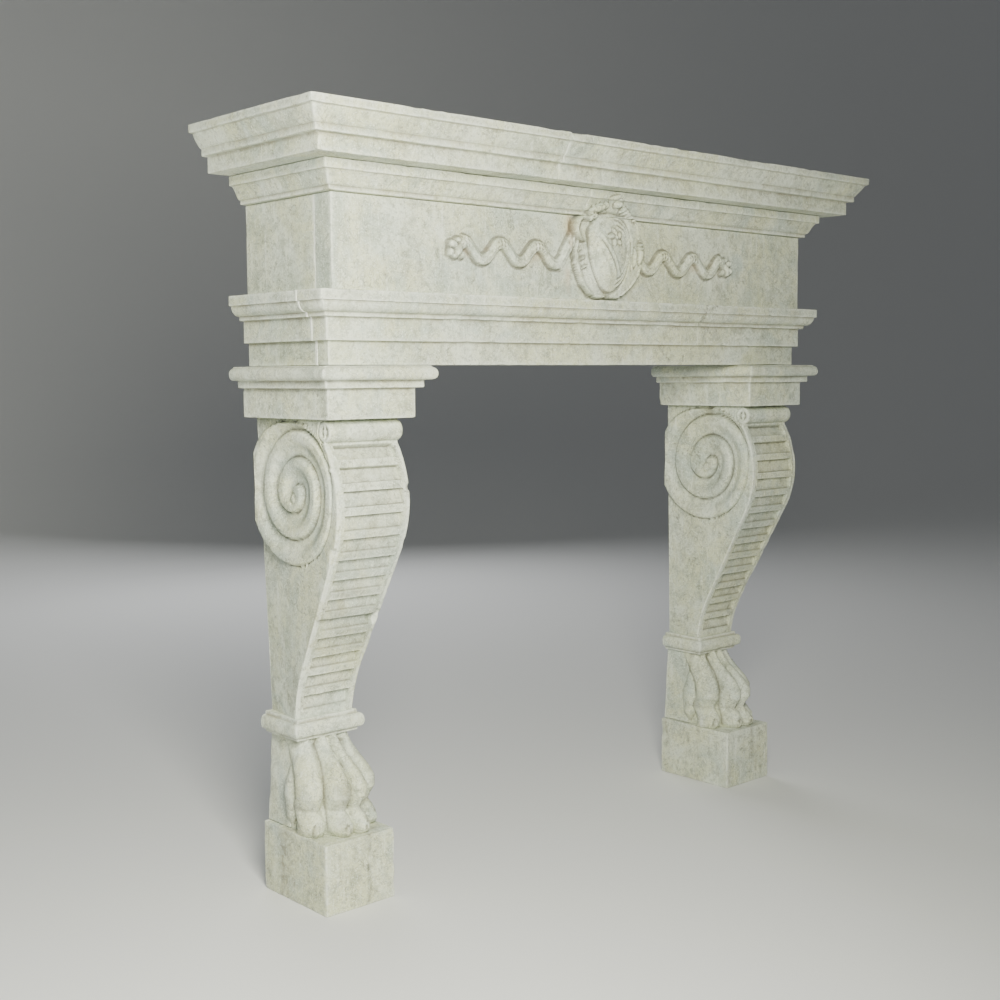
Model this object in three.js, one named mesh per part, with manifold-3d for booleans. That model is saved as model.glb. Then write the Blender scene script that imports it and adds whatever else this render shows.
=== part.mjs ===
// Carved limestone fireplace mantel: two plinths, two scroll legs on lion paws, two capitals,
// an architrave, a frieze with a cartouche and ribbons, a bed mould and a two-part cornice shelf.
// Millimetres, +Z up. X runs along the shelf, the front faces -Y and the flat back is the wall face.
// The origin is the middle of the footprint of the whole piece, on the hearth.

import * as THREE from 'three';
import { mergeVertices } from 'three/addons/utils/BufferGeometryUtils.js';
import Module from 'manifold-3d';

const wasm = await Module();
wasm.setup();

// Stone
const stoneColor = 0xd4d5cb;
const stoneRoughness = 0.85;

// Fits
const bedJoint = 0.3;
const sinkIn = 6;
const cutClear = 40;

// Heights of the courses, from the hearth up
const plinthHeight = 140;
const legHeight = 811;
const capitalHeight = 99;
const architraveHeight = 136;
const friezeHeight = 173.5;
const bedMouldHeight = 53;
const corniceHeight = 87.5;

// Plain faces of the entablature, measured from its middle and from the wall
const faceHalfWidth = 695;
const friezeDepth = 285.5;
const architraveDepth = 270;
const returnDepth = 232.5;
const returnThickness = 53;

// Cornice shelf, projections are from the frieze faces
const corniceFasciaProjection = 81.5;
const corniceFasciaHeight = 31;
const corniceFilletProjection = 94.5;
const corniceFilletHeight = 12.5;
const corniceCymaProjection = 113;
const corniceCymaHeight = 27;
const corniceTopProjection = 120.7;
const corniceJointX = -206;

// Bed mould, projections are from the frieze faces
const bedFilletProjection = 11.5;
const bedFilletHeight = 8;
const bedCymaProjection = 31;
const bedCymaHeight = 26;
const bedTopProjection = 35.8;
const bedJointX = -68;

// Architrave, projections are from its lower fascia
const lowerFasciaHeight = 44.5;
const upperFasciaHeight = 43;
const upperFasciaProjection = 10.8;
const beadHeight = 8;
const beadProjection = 20.5;
const ovoloHeight = 20;
const ovoloProjection = 38.7;
const architraveTopProjection = 43;

// Capitals
const capitalInset = 86.5;
const capitalBlockWidth = 202.4;
const capitalBlockDepth = 286.2;
const capitalBlockHeight = 57;
const neckHeight = 14.5;
const neckProjection = 12.5;
const capitalRollHeight = 25;
const capitalRollProjection = 32;

// Plinths
const plinthInset = 92.3;
const plinthWidth = 164.2;
const plinthDepth = 217.5;

// Legs: side outline of the scroll. Drops are from the top of the leg, rises from the plinth.
const bellyDepth = 287;
const bellyDrop = 158;
const bellyRadius = 200;
const shankLeanDeg = 28;
const waistRise = 320;
const waistRadius = 260;
const shoulderDrop = 46;
const rollerRadius = 20;
const rollerDrop = 22.5;
const rollerDepth = 250;

// Legs: half widths of the scroll at its front arris and at the wall
const frontHalfTop = 85;
const frontHalfLow = 68.5;
const backHalfTop = 69;
const backHalfLow = 54;
const legTopInset = 85;

// Recessed panels up the front of each leg
const panelCount = 13;
const panelHeightShare = 0.62;
const panelRim = 17;
const panelRecess = 11;
const panelTopMargin = 2;

// Volute on both sides of each leg: half turns struck from two centres
const voluteDrop = 139;
const voluteRearCentre = 125;
const voluteStep = 25.5;
const voluteInset = 8;
const voluteHalfTurns = 6;
const voluteHalfWidth = 84;
const voluteRelief = 7;
const voluteChannelShare = 0.5;
const voluteTopDrop = 9;
const voluteFrontMargin = 16;
const channelOverlap = 1;

// Collar above the paw
const collarRise = 180;
const collarHeight = 44.5;
const collarSideProjection = 15;
const collarFrontProjection = 18;
const collarFilletHeight = 7.5;
const collarTopFilletSetback = 11;
const collarLowFilletSetback = 10.5;

// Paw and the block behind it
const pawBlockDepth = 82;
const pawBlockHalfTop = 60;
const pawBlockHalfLow = 72;
const pawCentreDepth = 84;
const pawReach = 129;
const pawHalfWidth = 83;
const pawSquareness = 2.6;
const toeCount = 4;
const toeSpacing = 42;
const toeGroove = 13;
const tendonDepth = 5;
const dewclawAngleDeg = 80;
const dewclawBulge = 8;

// Cartouche and ribbons carved on the frieze
const carvingRise = 87;
const shieldHalfWidth = 94;
const shieldDrop = 83;
const shieldRelief = 26;
const bossHalfWidth = 54;
const bossHalfHeight = 80;
const bossRelief = 46;
const crestHalfWidth = 66;
const crestRelief = 16;
const crestRise = 31;
const crestLobes = 5;
const ribbonStart = 86;
const ribbonCrest = 93;
const ribbonPitch = 99;
const ribbonWaves = 3;
const ribbonAmplitude = 17;
const ribbonWidth = 21;
const ribbonRelief = 17;
const knotHalfWidth = 32;
const knotHalfHeight = 23;

// Levels and places worked out from the sizes above
const legBase = plinthHeight + bedJoint;
const legTop = plinthHeight + legHeight;
const capitalTop = legTop + capitalHeight;
const architraveTop = capitalTop + architraveHeight;
const friezeTop = architraveTop + friezeHeight;
const bedMouldTop = friezeTop + bedMouldHeight;
const shelfTop = bedMouldTop + corniceHeight;
const overallDepth = friezeDepth + corniceTopProjection;
const capitalCentreX = faceHalfWidth - capitalInset;
const plinthCentreX = faceHalfWidth - plinthInset;
const legTopCentreX = faceHalfWidth - legTopInset;
const wall = overallDepth / 2;
const collarTop = plinthHeight + collarRise + collarHeight;
const collarBottom = plinthHeight + collarRise;
const pawHeight = collarBottom - legBase;

// Solids

function solidOf(geometry) {
  const bare = geometry.index ? geometry.toNonIndexed() : geometry.clone();
  bare.deleteAttribute('normal');
  bare.deleteAttribute('uv');
  const merged = mergeVertices(bare, 1e-3);
  const mesh = new wasm.Mesh({
    numProp: 3,
    vertProperties: new Float32Array(merged.attributes.position.array),
    triVerts: new Uint32Array(merged.index.array),
  });
  mesh.merge();
  return new wasm.Manifold(mesh);
}

function geometryOf(solid) {
  const mesh = solid.getMesh();
  const geometry = new THREE.BufferGeometry();
  geometry.setAttribute('position', new THREE.BufferAttribute(new Float32Array(mesh.vertProperties), 3));
  geometry.setIndex(new THREE.BufferAttribute(new Uint32Array(mesh.triVerts), 1));
  geometry.computeVertexNormals();
  return geometry;
}

function piece(name, solid) {
  const material = new THREE.MeshStandardMaterial({ color: stoneColor, roughness: stoneRoughness });
  const mesh = new THREE.Mesh(geometryOf(solid), material);
  mesh.name = name;
  return mesh;
}

function box(x0, x1, depth0, depth1, z0, z1) {
  const geometry = new THREE.BoxGeometry(x1 - x0, depth1 - depth0, z1 - z0);
  geometry.translate((x0 + x1) / 2, wall - (depth0 + depth1) / 2, (z0 + z1) / 2);
  return solidOf(geometry);
}

// A side outline, drawn with x as minus the depth and y as the height, run from x0 to x1.
function runAcross(shape, x0, x1, curveSegments = 12) {
  const geometry = new THREE.ExtrudeGeometry(shape, { depth: x1 - x0, bevelEnabled: false, curveSegments });
  const axes = new THREE.Matrix4().makeBasis(
    new THREE.Vector3(0, 1, 0),
    new THREE.Vector3(0, 0, 1),
    new THREE.Vector3(1, 0, 0),
  );
  geometry.applyMatrix4(axes);
  geometry.translate(x0, wall, 0);
  return geometry;
}

// A front outline, drawn with x and the height, run forward from depth0 to depth1.
function runForward(shape, depth0, depth1, curveSegments = 12) {
  const geometry = new THREE.ExtrudeGeometry(shape, {
    depth: depth1 - depth0,
    bevelEnabled: false,
    curveSegments,
  });
  const axes = new THREE.Matrix4().makeBasis(
    new THREE.Vector3(1, 0, 0),
    new THREE.Vector3(0, 0, 1),
    new THREE.Vector3(0, -1, 0),
  );
  geometry.applyMatrix4(axes);
  geometry.translate(0, wall - depth0, 0);
  return geometry;
}

// Mouldings: a profile is a path of projection against height, and a course carries it round
// its front and both ends, mitred at the corners.

function reverseCyma(profile, from, to) {
  const middle = new THREE.Vector2().lerpVectors(from, to, 0.5);
  profile.quadraticCurveTo(middle.x + (to.x - from.x) * 0.22, from.y, middle.x, middle.y);
  profile.quadraticCurveTo(middle.x - (to.x - from.x) * 0.08, to.y - (to.y - from.y) * 0.06, to.x, to.y);
}

function mouldedCourse(halfWidth, depth, profilePoints, centreX = 0) {
  const side = new THREE.Shape();
  side.moveTo(0, profilePoints[0].y);
  for (const point of profilePoints) side.lineTo(-(depth + point.x), point.y);
  side.lineTo(0, profilePoints.at(-1).y);

  const front = new THREE.Shape();
  front.moveTo(centreX + halfWidth + profilePoints[0].x, profilePoints[0].y);
  for (const point of profilePoints.slice(1)) front.lineTo(centreX + halfWidth + point.x, point.y);
  for (const point of profilePoints.toReversed()) front.lineTo(centreX - halfWidth - point.x, point.y);

  const reach = halfWidth + Math.max(...profilePoints.map((point) => point.x)) + cutClear;
  const across = solidOf(runAcross(side, centreX - reach, centreX + reach));
  const forward = solidOf(runForward(front, -cutClear, depth + reach));
  return across.intersect(forward);
}

function corniceProfile() {
  const base = bedMouldTop + bedJoint;
  const filletZ = base + corniceFasciaHeight;
  const cymaZ = filletZ + corniceFilletHeight;
  const topZ = cymaZ + corniceCymaHeight;
  const profile = new THREE.Path();
  profile.moveTo(corniceFasciaProjection, base);
  profile.lineTo(corniceFasciaProjection, filletZ);
  profile.lineTo(corniceFilletProjection, filletZ);
  profile.lineTo(corniceFilletProjection, cymaZ);
  reverseCyma(
    profile,
    new THREE.Vector2(corniceFilletProjection, cymaZ),
    new THREE.Vector2(corniceCymaProjection, topZ),
  );
  profile.lineTo(corniceTopProjection, topZ);
  profile.lineTo(corniceTopProjection, shelfTop);
  return profile.getPoints(3);
}

function bedMouldProfile() {
  const base = friezeTop + bedJoint;
  const cymaZ = base + bedFilletHeight;
  const topZ = cymaZ + bedCymaHeight;
  const profile = new THREE.Path();
  profile.moveTo(bedFilletProjection, base);
  profile.lineTo(bedFilletProjection, cymaZ);
  reverseCyma(
    profile,
    new THREE.Vector2(bedFilletProjection, cymaZ),
    new THREE.Vector2(bedCymaProjection, topZ),
  );
  profile.lineTo(bedTopProjection, topZ);
  profile.lineTo(bedTopProjection, bedMouldTop);
  return profile.getPoints(3);
}

function architraveProfile() {
  const base = capitalTop + bedJoint;
  const upperZ = base + lowerFasciaHeight;
  const beadZ = upperZ + upperFasciaHeight;
  const ovoloZ = beadZ + beadHeight;
  const topZ = ovoloZ + ovoloHeight;
  const profile = new THREE.Path();
  profile.moveTo(0, base);
  profile.lineTo(0, upperZ);
  profile.lineTo(upperFasciaProjection, upperZ);
  profile.lineTo(upperFasciaProjection, beadZ);
  profile.lineTo(beadProjection, beadZ);
  profile.lineTo(beadProjection, ovoloZ);
  profile.quadraticCurveTo(ovoloProjection, ovoloZ, ovoloProjection, topZ);
  profile.lineTo(architraveTopProjection, topZ);
  profile.lineTo(architraveTopProjection, architraveTop);
  return profile.getPoints(3);
}

function capitalProfile() {
  const base = legTop + bedJoint;
  const neckZ = base + capitalBlockHeight;
  const rollZ = neckZ + neckHeight;
  const rollReach = capitalRollProjection - neckProjection;
  const profile = new THREE.Path();
  profile.moveTo(0, base);
  profile.lineTo(0, neckZ);
  profile.lineTo(neckProjection, neckZ);
  profile.lineTo(neckProjection, rollZ);
  profile.absellipse(
    neckProjection,
    rollZ + capitalRollHeight / 2,
    rollReach,
    capitalRollHeight / 2,
    -Math.PI / 2,
    Math.PI / 3,
  );
  profile.lineTo(neckProjection + rollReach / 2, capitalTop);
  return profile.getPoints(3);
}

// Upper courses: a front slab with two side returns behind it, or a solid shelf

function frontSlab(course, z0, z1) {
  const reach = faceHalfWidth + cutClear * 2;
  return course.intersect(box(-reach, reach, returnDepth, overallDepth + cutClear, z0 - 1, z1 + 1));
}

function sideReturn(course, side, z0, z1) {
  const inner = faceHalfWidth - returnThickness;
  const outer = faceHalfWidth + overallDepth;
  const x0 = side < 0 ? -outer : inner;
  const x1 = side < 0 ? -inner : outer;
  return course.intersect(box(x0, x1, -1, returnDepth - bedJoint, z0 - 1, z1 + 1));
}

function cutAtX(solid, x0, x1) {
  return solid.intersect(box(x0, x1, -cutClear, overallDepth + cutClear, -1, shelfTop + 1));
}

function cornicePieces() {
  const course = mouldedCourse(faceHalfWidth, friezeDepth, corniceProfile());
  const reach = faceHalfWidth + overallDepth;
  return [
    piece('cornice_left', cutAtX(course, -reach, corniceJointX - bedJoint / 2)),
    piece('cornice_right', cutAtX(course, corniceJointX + bedJoint / 2, reach)),
  ];
}

// The crest is a row of rounded lobes that fan out over the bed mould above the cartouche.
function crest() {
  const lobeGeometry = (share) => {
    const geometry = new THREE.SphereGeometry(1, 8, 6);
    const height = crestRise * (1 - 0.35 * share * share);
    geometry.scale(crestHalfWidth / crestLobes + 4, crestRelief, height / 2);
    geometry.rotateY(share * 0.7);
    const x = share * (crestHalfWidth - crestHalfWidth / crestLobes);
    const rise = friezeTop + bedJoint + height / 2 - Math.abs(share) * 2;
    geometry.translate(x, wall - friezeDepth - bedTopProjection, rise);
    return geometry;
  };
  let fan = null;
  for (let index = 0; index < crestLobes; index += 1) {
    const share = (2 * index) / (crestLobes - 1) - 1;
    const lobe = solidOf(lobeGeometry(share));
    fan = fan ? fan.add(lobe) : lobe;
  }
  const reach = crestHalfWidth * 2;
  return fan.intersect(box(-reach, reach, returnDepth, overallDepth, friezeTop + bedJoint, bedMouldTop));
}

function bedMouldPieces() {
  const course = mouldedCourse(faceHalfWidth, friezeDepth, bedMouldProfile());
  const inner = faceHalfWidth - returnThickness;
  const hollow = box(-inner, inner, -cutClear, returnDepth, friezeTop - 1, bedMouldTop + 1);
  const ring = course.subtract(hollow);
  const reach = faceHalfWidth + overallDepth;
  const crestSide = box(bedJointX + bedJoint / 2, reach, 0, overallDepth, friezeTop, shelfTop);
  const left = cutAtX(ring, -reach, bedJointX - bedJoint / 2);
  const right = cutAtX(ring, bedJointX + bedJoint / 2, reach).add(crest().intersect(crestSide));
  return [piece('bed_mould_left', left), piece('bed_mould_right', right)];
}

// Cartouche: a shield with a pointed foot and an almond boss, in the middle of the frieze
function shieldShape(inset) {
  const half = shieldHalfWidth - inset;
  const middle = architraveTop + carvingRise;
  const foot = middle - shieldDrop + inset;
  const top = friezeTop - inset * 0.5;
  const shape = new THREE.Shape();
  shape.moveTo(0, foot + 5);
  shape.quadraticCurveTo(half * 0.25, foot - 4, half * 0.55, foot + 14);
  shape.quadraticCurveTo(half * 0.98, middle - 26, half, middle + 12);
  shape.quadraticCurveTo(half * 0.98, middle + 44, half * 0.7, top);
  shape.lineTo(-half * 0.7, top);
  shape.quadraticCurveTo(-half * 0.98, middle + 44, -half, middle + 12);
  shape.quadraticCurveTo(-half * 0.98, middle - 26, -half * 0.55, foot + 14);
  shape.quadraticCurveTo(-half * 0.25, foot - 4, 0, foot + 5);
  return shape;
}

function cartouche() {
  const face = friezeDepth;
  const lower = solidOf(runForward(shieldShape(0), face - sinkIn, face + shieldRelief * 0.7, 5));
  const upper = solidOf(runForward(shieldShape(9), face - sinkIn, face + shieldRelief, 5));
  const boss = new THREE.SphereGeometry(1, 20, 12);
  boss.scale(bossHalfWidth, bossRelief, bossHalfHeight);
  boss.translate(0, wall - face, architraveTop + carvingRise + 4);
  const reach = shieldHalfWidth * 2;
  const band = box(-reach, reach, returnDepth, overallDepth, architraveTop + bedJoint, friezeTop);
  return lower.add(upper).add(solidOf(boss)).intersect(band);
}

// A ribbon waves out from the cartouche and ends in a knot.
function ribbonHeight(distance) {
  const swing = Math.cos(((distance - ribbonCrest) / ribbonPitch) * 2 * Math.PI);
  return architraveTop + carvingRise + ribbonAmplitude * swing;
}

function ribbon(side) {
  const steps = 10 * ribbonWaves;
  const ribbonEnd = ribbonCrest + ribbonPitch * ribbonWaves;
  const shape = new THREE.Shape();
  const along = [];
  for (let index = 0; index <= steps; index += 1) {
    const distance = THREE.MathUtils.lerp(ribbonStart, ribbonEnd, index / steps);
    along.push(new THREE.Vector2(side * distance, ribbonHeight(distance)));
  }
  const edges = along.map((point, index) => {
    const next = along[Math.min(index + 1, steps)];
    const last = along[Math.max(index - 1, 0)];
    const run = new THREE.Vector2().subVectors(next, last).normalize();
    const across = new THREE.Vector2(-run.y, run.x).multiplyScalar(ribbonWidth / 2);
    return [point.clone().add(across), point.clone().sub(across)];
  });
  shape.moveTo(edges[0][0].x, edges[0][0].y);
  for (const edge of edges.slice(1)) shape.lineTo(edge[0].x, edge[0].y);
  for (const edge of edges.toReversed()) shape.lineTo(edge[1].x, edge[1].y);
  const band = solidOf(runForward(shape, friezeDepth - sinkIn, friezeDepth + ribbonRelief));
  const knot = new THREE.SphereGeometry(1, 12, 8);
  knot.scale(knotHalfWidth, ribbonRelief, knotHalfHeight);
  knot.translate(side * (ribbonEnd + knotHalfWidth / 2), wall - friezeDepth, architraveTop + carvingRise);
  return band.add(solidOf(knot));
}

function friezePieces() {
  const base = architraveTop + bedJoint;
  const course = box(-faceHalfWidth, faceHalfWidth, 0, friezeDepth, base, friezeTop);
  const slab = frontSlab(course, base, friezeTop).add(cartouche()).add(ribbon(-1)).add(ribbon(1));
  return [
    piece('frieze_front', slab),
    piece('frieze_return_left', sideReturn(course, -1, base, friezeTop)),
    piece('frieze_return_right', sideReturn(course, 1, base, friezeTop)),
  ];
}

function architravePieces() {
  const course = mouldedCourse(faceHalfWidth, architraveDepth, architraveProfile());
  return [
    piece('architrave_front', frontSlab(course, capitalTop, architraveTop)),
    piece('architrave_return_left', sideReturn(course, -1, capitalTop, architraveTop)),
    piece('architrave_return_right', sideReturn(course, 1, capitalTop, architraveTop)),
  ];
}

function capital(name, side) {
  const half = capitalBlockWidth / 2;
  return piece(name, mouldedCourse(half, capitalBlockDepth, capitalProfile(), side * capitalCentreX));
}

function plinth(name, side) {
  const half = plinthWidth / 2;
  const centre = side * plinthCentreX;
  return piece(name, box(centre - half, centre + half, 0, plinthDepth, 0, plinthHeight));
}

// Leg: the front line of the scroll is a waist arc, a straight shank and a belly arc.

const lean = THREE.MathUtils.degToRad(shankLeanDeg);
const bellyZ = legTop - bellyDrop;
const bellyCentre = bellyDepth - bellyRadius;
const shankTopZ = bellyZ - bellyRadius * Math.sin(lean);
const shankTopDepth = bellyCentre + bellyRadius * Math.cos(lean);
const waistZ = plinthHeight + waistRise;
const waistDepth = shankTopDepth - (shankTopZ - waistZ) * Math.tan(lean);
const waistCentreDepth = waistDepth + waistRadius * Math.cos(lean);
const waistCentreZ = waistZ - waistRadius * Math.sin(lean);
const shoulderZ = legTop - shoulderDrop;

function frontDepth(z) {
  if (z > shoulderZ) return frontDepth(shoulderZ);
  if (z > shankTopZ) return bellyCentre + Math.sqrt(bellyRadius ** 2 - (z - bellyZ) ** 2);
  if (z > waistZ) return shankTopDepth - (shankTopZ - z) * Math.tan(lean);
  return waistCentreDepth - Math.sqrt(waistRadius ** 2 - (z - waistCentreZ) ** 2);
}

function legCentre(z) {
  const share = (z - plinthHeight) / legHeight;
  return THREE.MathUtils.lerp(plinthCentreX, legTopCentreX, share);
}

function halfWidthAt(depth, z) {
  const front = THREE.MathUtils.clamp((z - collarTop) / (bellyZ - collarTop), 0, 1);
  const back = (z - collarTop) / (legTop - collarTop);
  const frontHalf = THREE.MathUtils.lerp(frontHalfLow, frontHalfTop, front);
  const backHalf = THREE.MathUtils.lerp(backHalfLow, backHalfTop, back);
  return THREE.MathUtils.lerp(backHalf, frontHalf, depth / frontDepth(z));
}

// Points up the front line, from the collar to the shoulder under the roller
function frontLine(steps) {
  const points = [];
  for (let index = 0; index <= steps; index += 1) {
    const z = THREE.MathUtils.lerp(collarTop - sinkIn, shoulderZ, index / steps);
    points.push(new THREE.Vector2(frontDepth(z), z));
  }
  return points;
}

function scrollOutline(steps) {
  const shape = new THREE.Shape();
  shape.moveTo(0, collarTop - sinkIn);
  for (const point of frontLine(steps)) shape.lineTo(-point.x, point.y);
  shape.lineTo(-frontDepth(shoulderZ), legTop);
  shape.lineTo(0, legTop);
  return shape;
}

function leanOver(geometry, side) {
  const position = geometry.attributes.position;
  for (let index = 0; index < position.count; index += 1) {
    position.setX(index, side * legCentre(position.getZ(index)) + position.getX(index));
  }
  return geometry;
}

function scrollBody(side) {
  const geometry = runAcross(scrollOutline(16), -1, 1);
  const position = geometry.attributes.position;
  for (let index = 0; index < position.count; index += 1) {
    const z = position.getZ(index);
    const depth = wall - position.getY(index);
    position.setX(index, position.getX(index) * halfWidthAt(depth, z));
  }
  return solidOf(leanOver(geometry, side));
}

// Each half turn of the volute is an arc from one of two centres, one step apart.
function voluteArc(halfTurn, inset) {
  const lower = halfTurn % 2 === 1;
  return {
    centre: lower ? -voluteRearCentre : -voluteRearCentre - voluteStep,
    radius: (halfTurn + 1) * voluteStep - voluteInset - inset,
    from: lower ? -Math.PI : 0,
    to: lower ? 0 : Math.PI,
  };
}

function voluteChannel() {
  const z = legTop - voluteDrop;
  const bandWidth = voluteStep * 2;
  const outerInset = bandWidth * (1 - voluteChannelShare);
  const innerInset = bandWidth - channelOverlap;
  const shape = new THREE.Shape();
  for (let halfTurn = 2; halfTurn < voluteHalfTurns; halfTurn += 1) {
    const arc = voluteArc(halfTurn, outerInset);
    shape.absarc(arc.centre, z, arc.radius, arc.from, arc.to, false);
  }
  for (let halfTurn = voluteHalfTurns - 1; halfTurn > 1; halfTurn -= 1) {
    const arc = voluteArc(halfTurn, innerInset);
    shape.absarc(arc.centre, z, arc.radius, arc.to, arc.from, true);
  }
  return shape;
}

function voluteDisc() {
  const z = legTop - voluteDrop;
  const radius = voluteHalfTurns * voluteStep - voluteInset;
  const rear = voluteRearCentre - radius;
  const front = bellyDepth - voluteFrontMargin;
  const shape = new THREE.Shape();
  shape.absarc(-voluteRearCentre, z, radius, -Math.PI, 0, false);
  shape.absellipse(-(rear + front) / 2, z, (front - rear) / 2, legTop - voluteTopDrop - z, 0, Math.PI);
  return shape;
}

function panelCutters(side) {
  const fine = frontLine(200);
  const lengths = [0];
  for (let index = 1; index < fine.length; index += 1) {
    lengths.push(lengths[index - 1] + fine[index].distanceTo(fine[index - 1]));
  }
  const first = sinkIn;
  const pitch = (lengths.at(-1) - panelTopMargin - first) / panelCount;
  const pointAt = (length) => {
    const after = Math.max(1, lengths.findIndex((value) => value >= length));
    const share = (length - lengths[after - 1]) / (lengths[after] - lengths[after - 1]);
    return new THREE.Vector2().lerpVectors(fine[after - 1], fine[after], share);
  };
  const cutters = [];
  for (let index = 0; index < panelCount; index += 1) {
    const top = pointAt(lengths.at(-1) - panelTopMargin - pitch * index);
    const foot = pointAt(lengths.at(-1) - panelTopMargin - pitch * (index + panelHeightShare));
    const run = new THREE.Vector2().subVectors(top, foot).normalize();
    const outward = new THREE.Vector2(run.y, -run.x);
    const inner = outward.clone().multiplyScalar(-panelRecess);
    const outer = outward.clone().multiplyScalar(panelRecess);
    const corners = [
      foot.clone().add(inner),
      foot.clone().add(outer),
      top.clone().add(outer),
      top.clone().add(inner),
    ];
    const shape = new THREE.Shape(corners.map((corner) => new THREE.Vector2(-corner.x, corner.y)));
    const z = (top.y + foot.y) / 2;
    const half = halfWidthAt(frontDepth(z), z) - panelRim;
    cutters.push(solidOf(leanOver(runAcross(shape, -half, half), side)));
  }
  return cutters;
}

function roller(side) {
  const z = legTop - rollerDrop;
  const half = halfWidthAt(frontDepth(z), z);
  const geometry = new THREE.CylinderGeometry(rollerRadius, rollerRadius, half * 2, 14);
  geometry.rotateZ(Math.PI / 2);
  geometry.translate(0, wall - rollerDepth, z);
  return solidOf(leanOver(geometry, side));
}

function collar(side) {
  const filletZ = collarBottom + collarFilletHeight;
  const topZ = collarTop - collarFilletHeight;
  const profile = new THREE.Path();
  profile.moveTo(-collarLowFilletSetback, collarBottom);
  profile.lineTo(-collarLowFilletSetback, filletZ);
  profile.quadraticCurveTo(0, filletZ, 0, (filletZ + topZ) / 2);
  profile.quadraticCurveTo(0, topZ, -collarTopFilletSetback, topZ);
  profile.lineTo(-collarTopFilletSetback, collarTop);
  const centre = side * legCentre(collarTop);
  const half = frontHalfLow + collarSideProjection;
  const depth = frontDepth(collarTop) + collarFrontProjection;
  return mouldedCourse(half, depth, profile.getPoints(3), centre);
}

// Paw: rings round an upright axis, swelling to the knuckles and out to the toes.
// Each station is a share of the paw's height, then shares of its reach and of its half width.
const pawStations = [
  [0, 0.985, 0.98],
  [0.09, 1, 1],
  [0.18, 0.95, 1],
  [0.28, 0.83, 0.97],
  [0.34, 0.81, 0.98],
  [0.47, 0.85, 1.04],
  [0.6, 0.84, 1],
  [0.69, 0.77, 0.87],
  [0.77, 0.57, 0.8],
  [0.85, 0.33, 0.76],
  [0.94, 0.24, 0.74],
  [1.04, 0.17, 0.7],
];

function pawAt(share, column) {
  const after = Math.max(1, pawStations.findIndex((station) => station[0] >= share));
  const low = pawStations[after - 1];
  const high = pawStations[after];
  return THREE.MathUtils.lerp(low[column], high[column], (share - low[0]) / (high[0] - low[0]));
}

function pawRadius(angle, share) {
  const reach = pawReach * pawAt(share, 1);
  const half = pawHalfWidth * pawAt(share, 2);
  const ahead = Math.abs(Math.cos(angle)) / reach;
  const aside = Math.abs(Math.sin(angle)) / half;
  const plain = (ahead ** pawSquareness + aside ** pawSquareness) ** (-1 / pawSquareness);
  const across = plain * Math.sin(angle);
  const middle = (toeCount * toeSpacing) / 2;
  const inToes = Math.cos(angle) > 0 && Math.abs(across) < middle - toeSpacing / 2 ? 1 : 0;
  const groove = Math.abs(Math.cos((across * Math.PI) / toeSpacing)) ** 6;
  const lowGroove = toeGroove * (1 - THREE.MathUtils.smoothstep(share, 0.35, 0.7));
  const depth = Math.max(lowGroove, tendonDepth * THREE.MathUtils.smoothstep(share, 0.6, 0.9));
  const dewclaw = Math.exp(-(((Math.abs(angle) - THREE.MathUtils.degToRad(dewclawAngleDeg)) / 0.2) ** 2));
  const dewclawSwell = Math.exp(-(((share - 0.4) / 0.25) ** 2));
  return plain - groove * depth * inToes + dewclaw * dewclawSwell * dewclawBulge;
}

function paw(side) {
  const rings = 11;
  const profile = [new THREE.Vector2(0, 0)];
  for (let ring = 0; ring <= rings; ring += 1) profile.push(new THREE.Vector2(1, ring / rings));
  profile.push(new THREE.Vector2(0, 1));
  const geometry = new THREE.LatheGeometry(profile, 52);
  geometry.rotateX(Math.PI / 2);
  const position = geometry.attributes.position;
  const height = pawHeight + sinkIn;
  for (let index = 0; index < position.count; index += 1) {
    const across = position.getX(index);
    const ahead = -position.getY(index);
    const share = position.getZ(index);
    const angle = Math.atan2(across, ahead);
    const radius = Math.hypot(across, ahead) > 0.5 ? pawRadius(angle, share) : 0;
    position.setXYZ(
      index,
      radius * Math.sin(angle),
      wall - pawCentreDepth - radius * Math.cos(angle),
      legBase + share * height,
    );
  }
  const half = plinthWidth / 2;
  const inFront = box(-half, half, pawBlockDepth - sinkIn, overallDepth, 0, legTop);
  return solidOf(geometry).intersect(inFront).translate([side * plinthCentreX, 0, 0]);
}

function pawBlock(side) {
  const geometry = new THREE.BoxGeometry(2, pawBlockDepth, pawHeight + sinkIn, 1, 1, 1);
  geometry.translate(0, wall - pawBlockDepth / 2, legBase + (pawHeight + sinkIn) / 2);
  const position = geometry.attributes.position;
  for (let index = 0; index < position.count; index += 1) {
    const share = (position.getZ(index) - legBase) / pawHeight;
    const half = THREE.MathUtils.lerp(pawBlockHalfLow, pawBlockHalfTop, share);
    position.setX(index, side * plinthCentreX + position.getX(index) * half);
  }
  return solidOf(geometry);
}

function leg(name, side) {
  const levels = voluteHalfWidth - voluteRelief;
  let solid = scrollBody(side);
  const wide = frontHalfTop * 2;
  const inOutline = solidOf(leanOver(runAcross(scrollOutline(16), -wide, wide), side));
  const disc = solidOf(leanOver(runAcross(voluteDisc(), -voluteHalfWidth, voluteHalfWidth, 20), side));
  solid = solid.add(disc.intersect(inOutline));
  const outer = solidOf(leanOver(runAcross(voluteChannel(), levels, frontHalfTop + cutClear, 9), side));
  const inner = solidOf(leanOver(runAcross(voluteChannel(), -frontHalfTop - cutClear, -levels, 9), side));
  solid = solid.subtract(outer).subtract(inner);
  for (const cutter of panelCutters(side)) solid = solid.subtract(cutter);
  solid = solid.add(roller(side)).add(collar(side)).add(paw(side)).add(pawBlock(side));
  return piece(name, solid);
}

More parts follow.
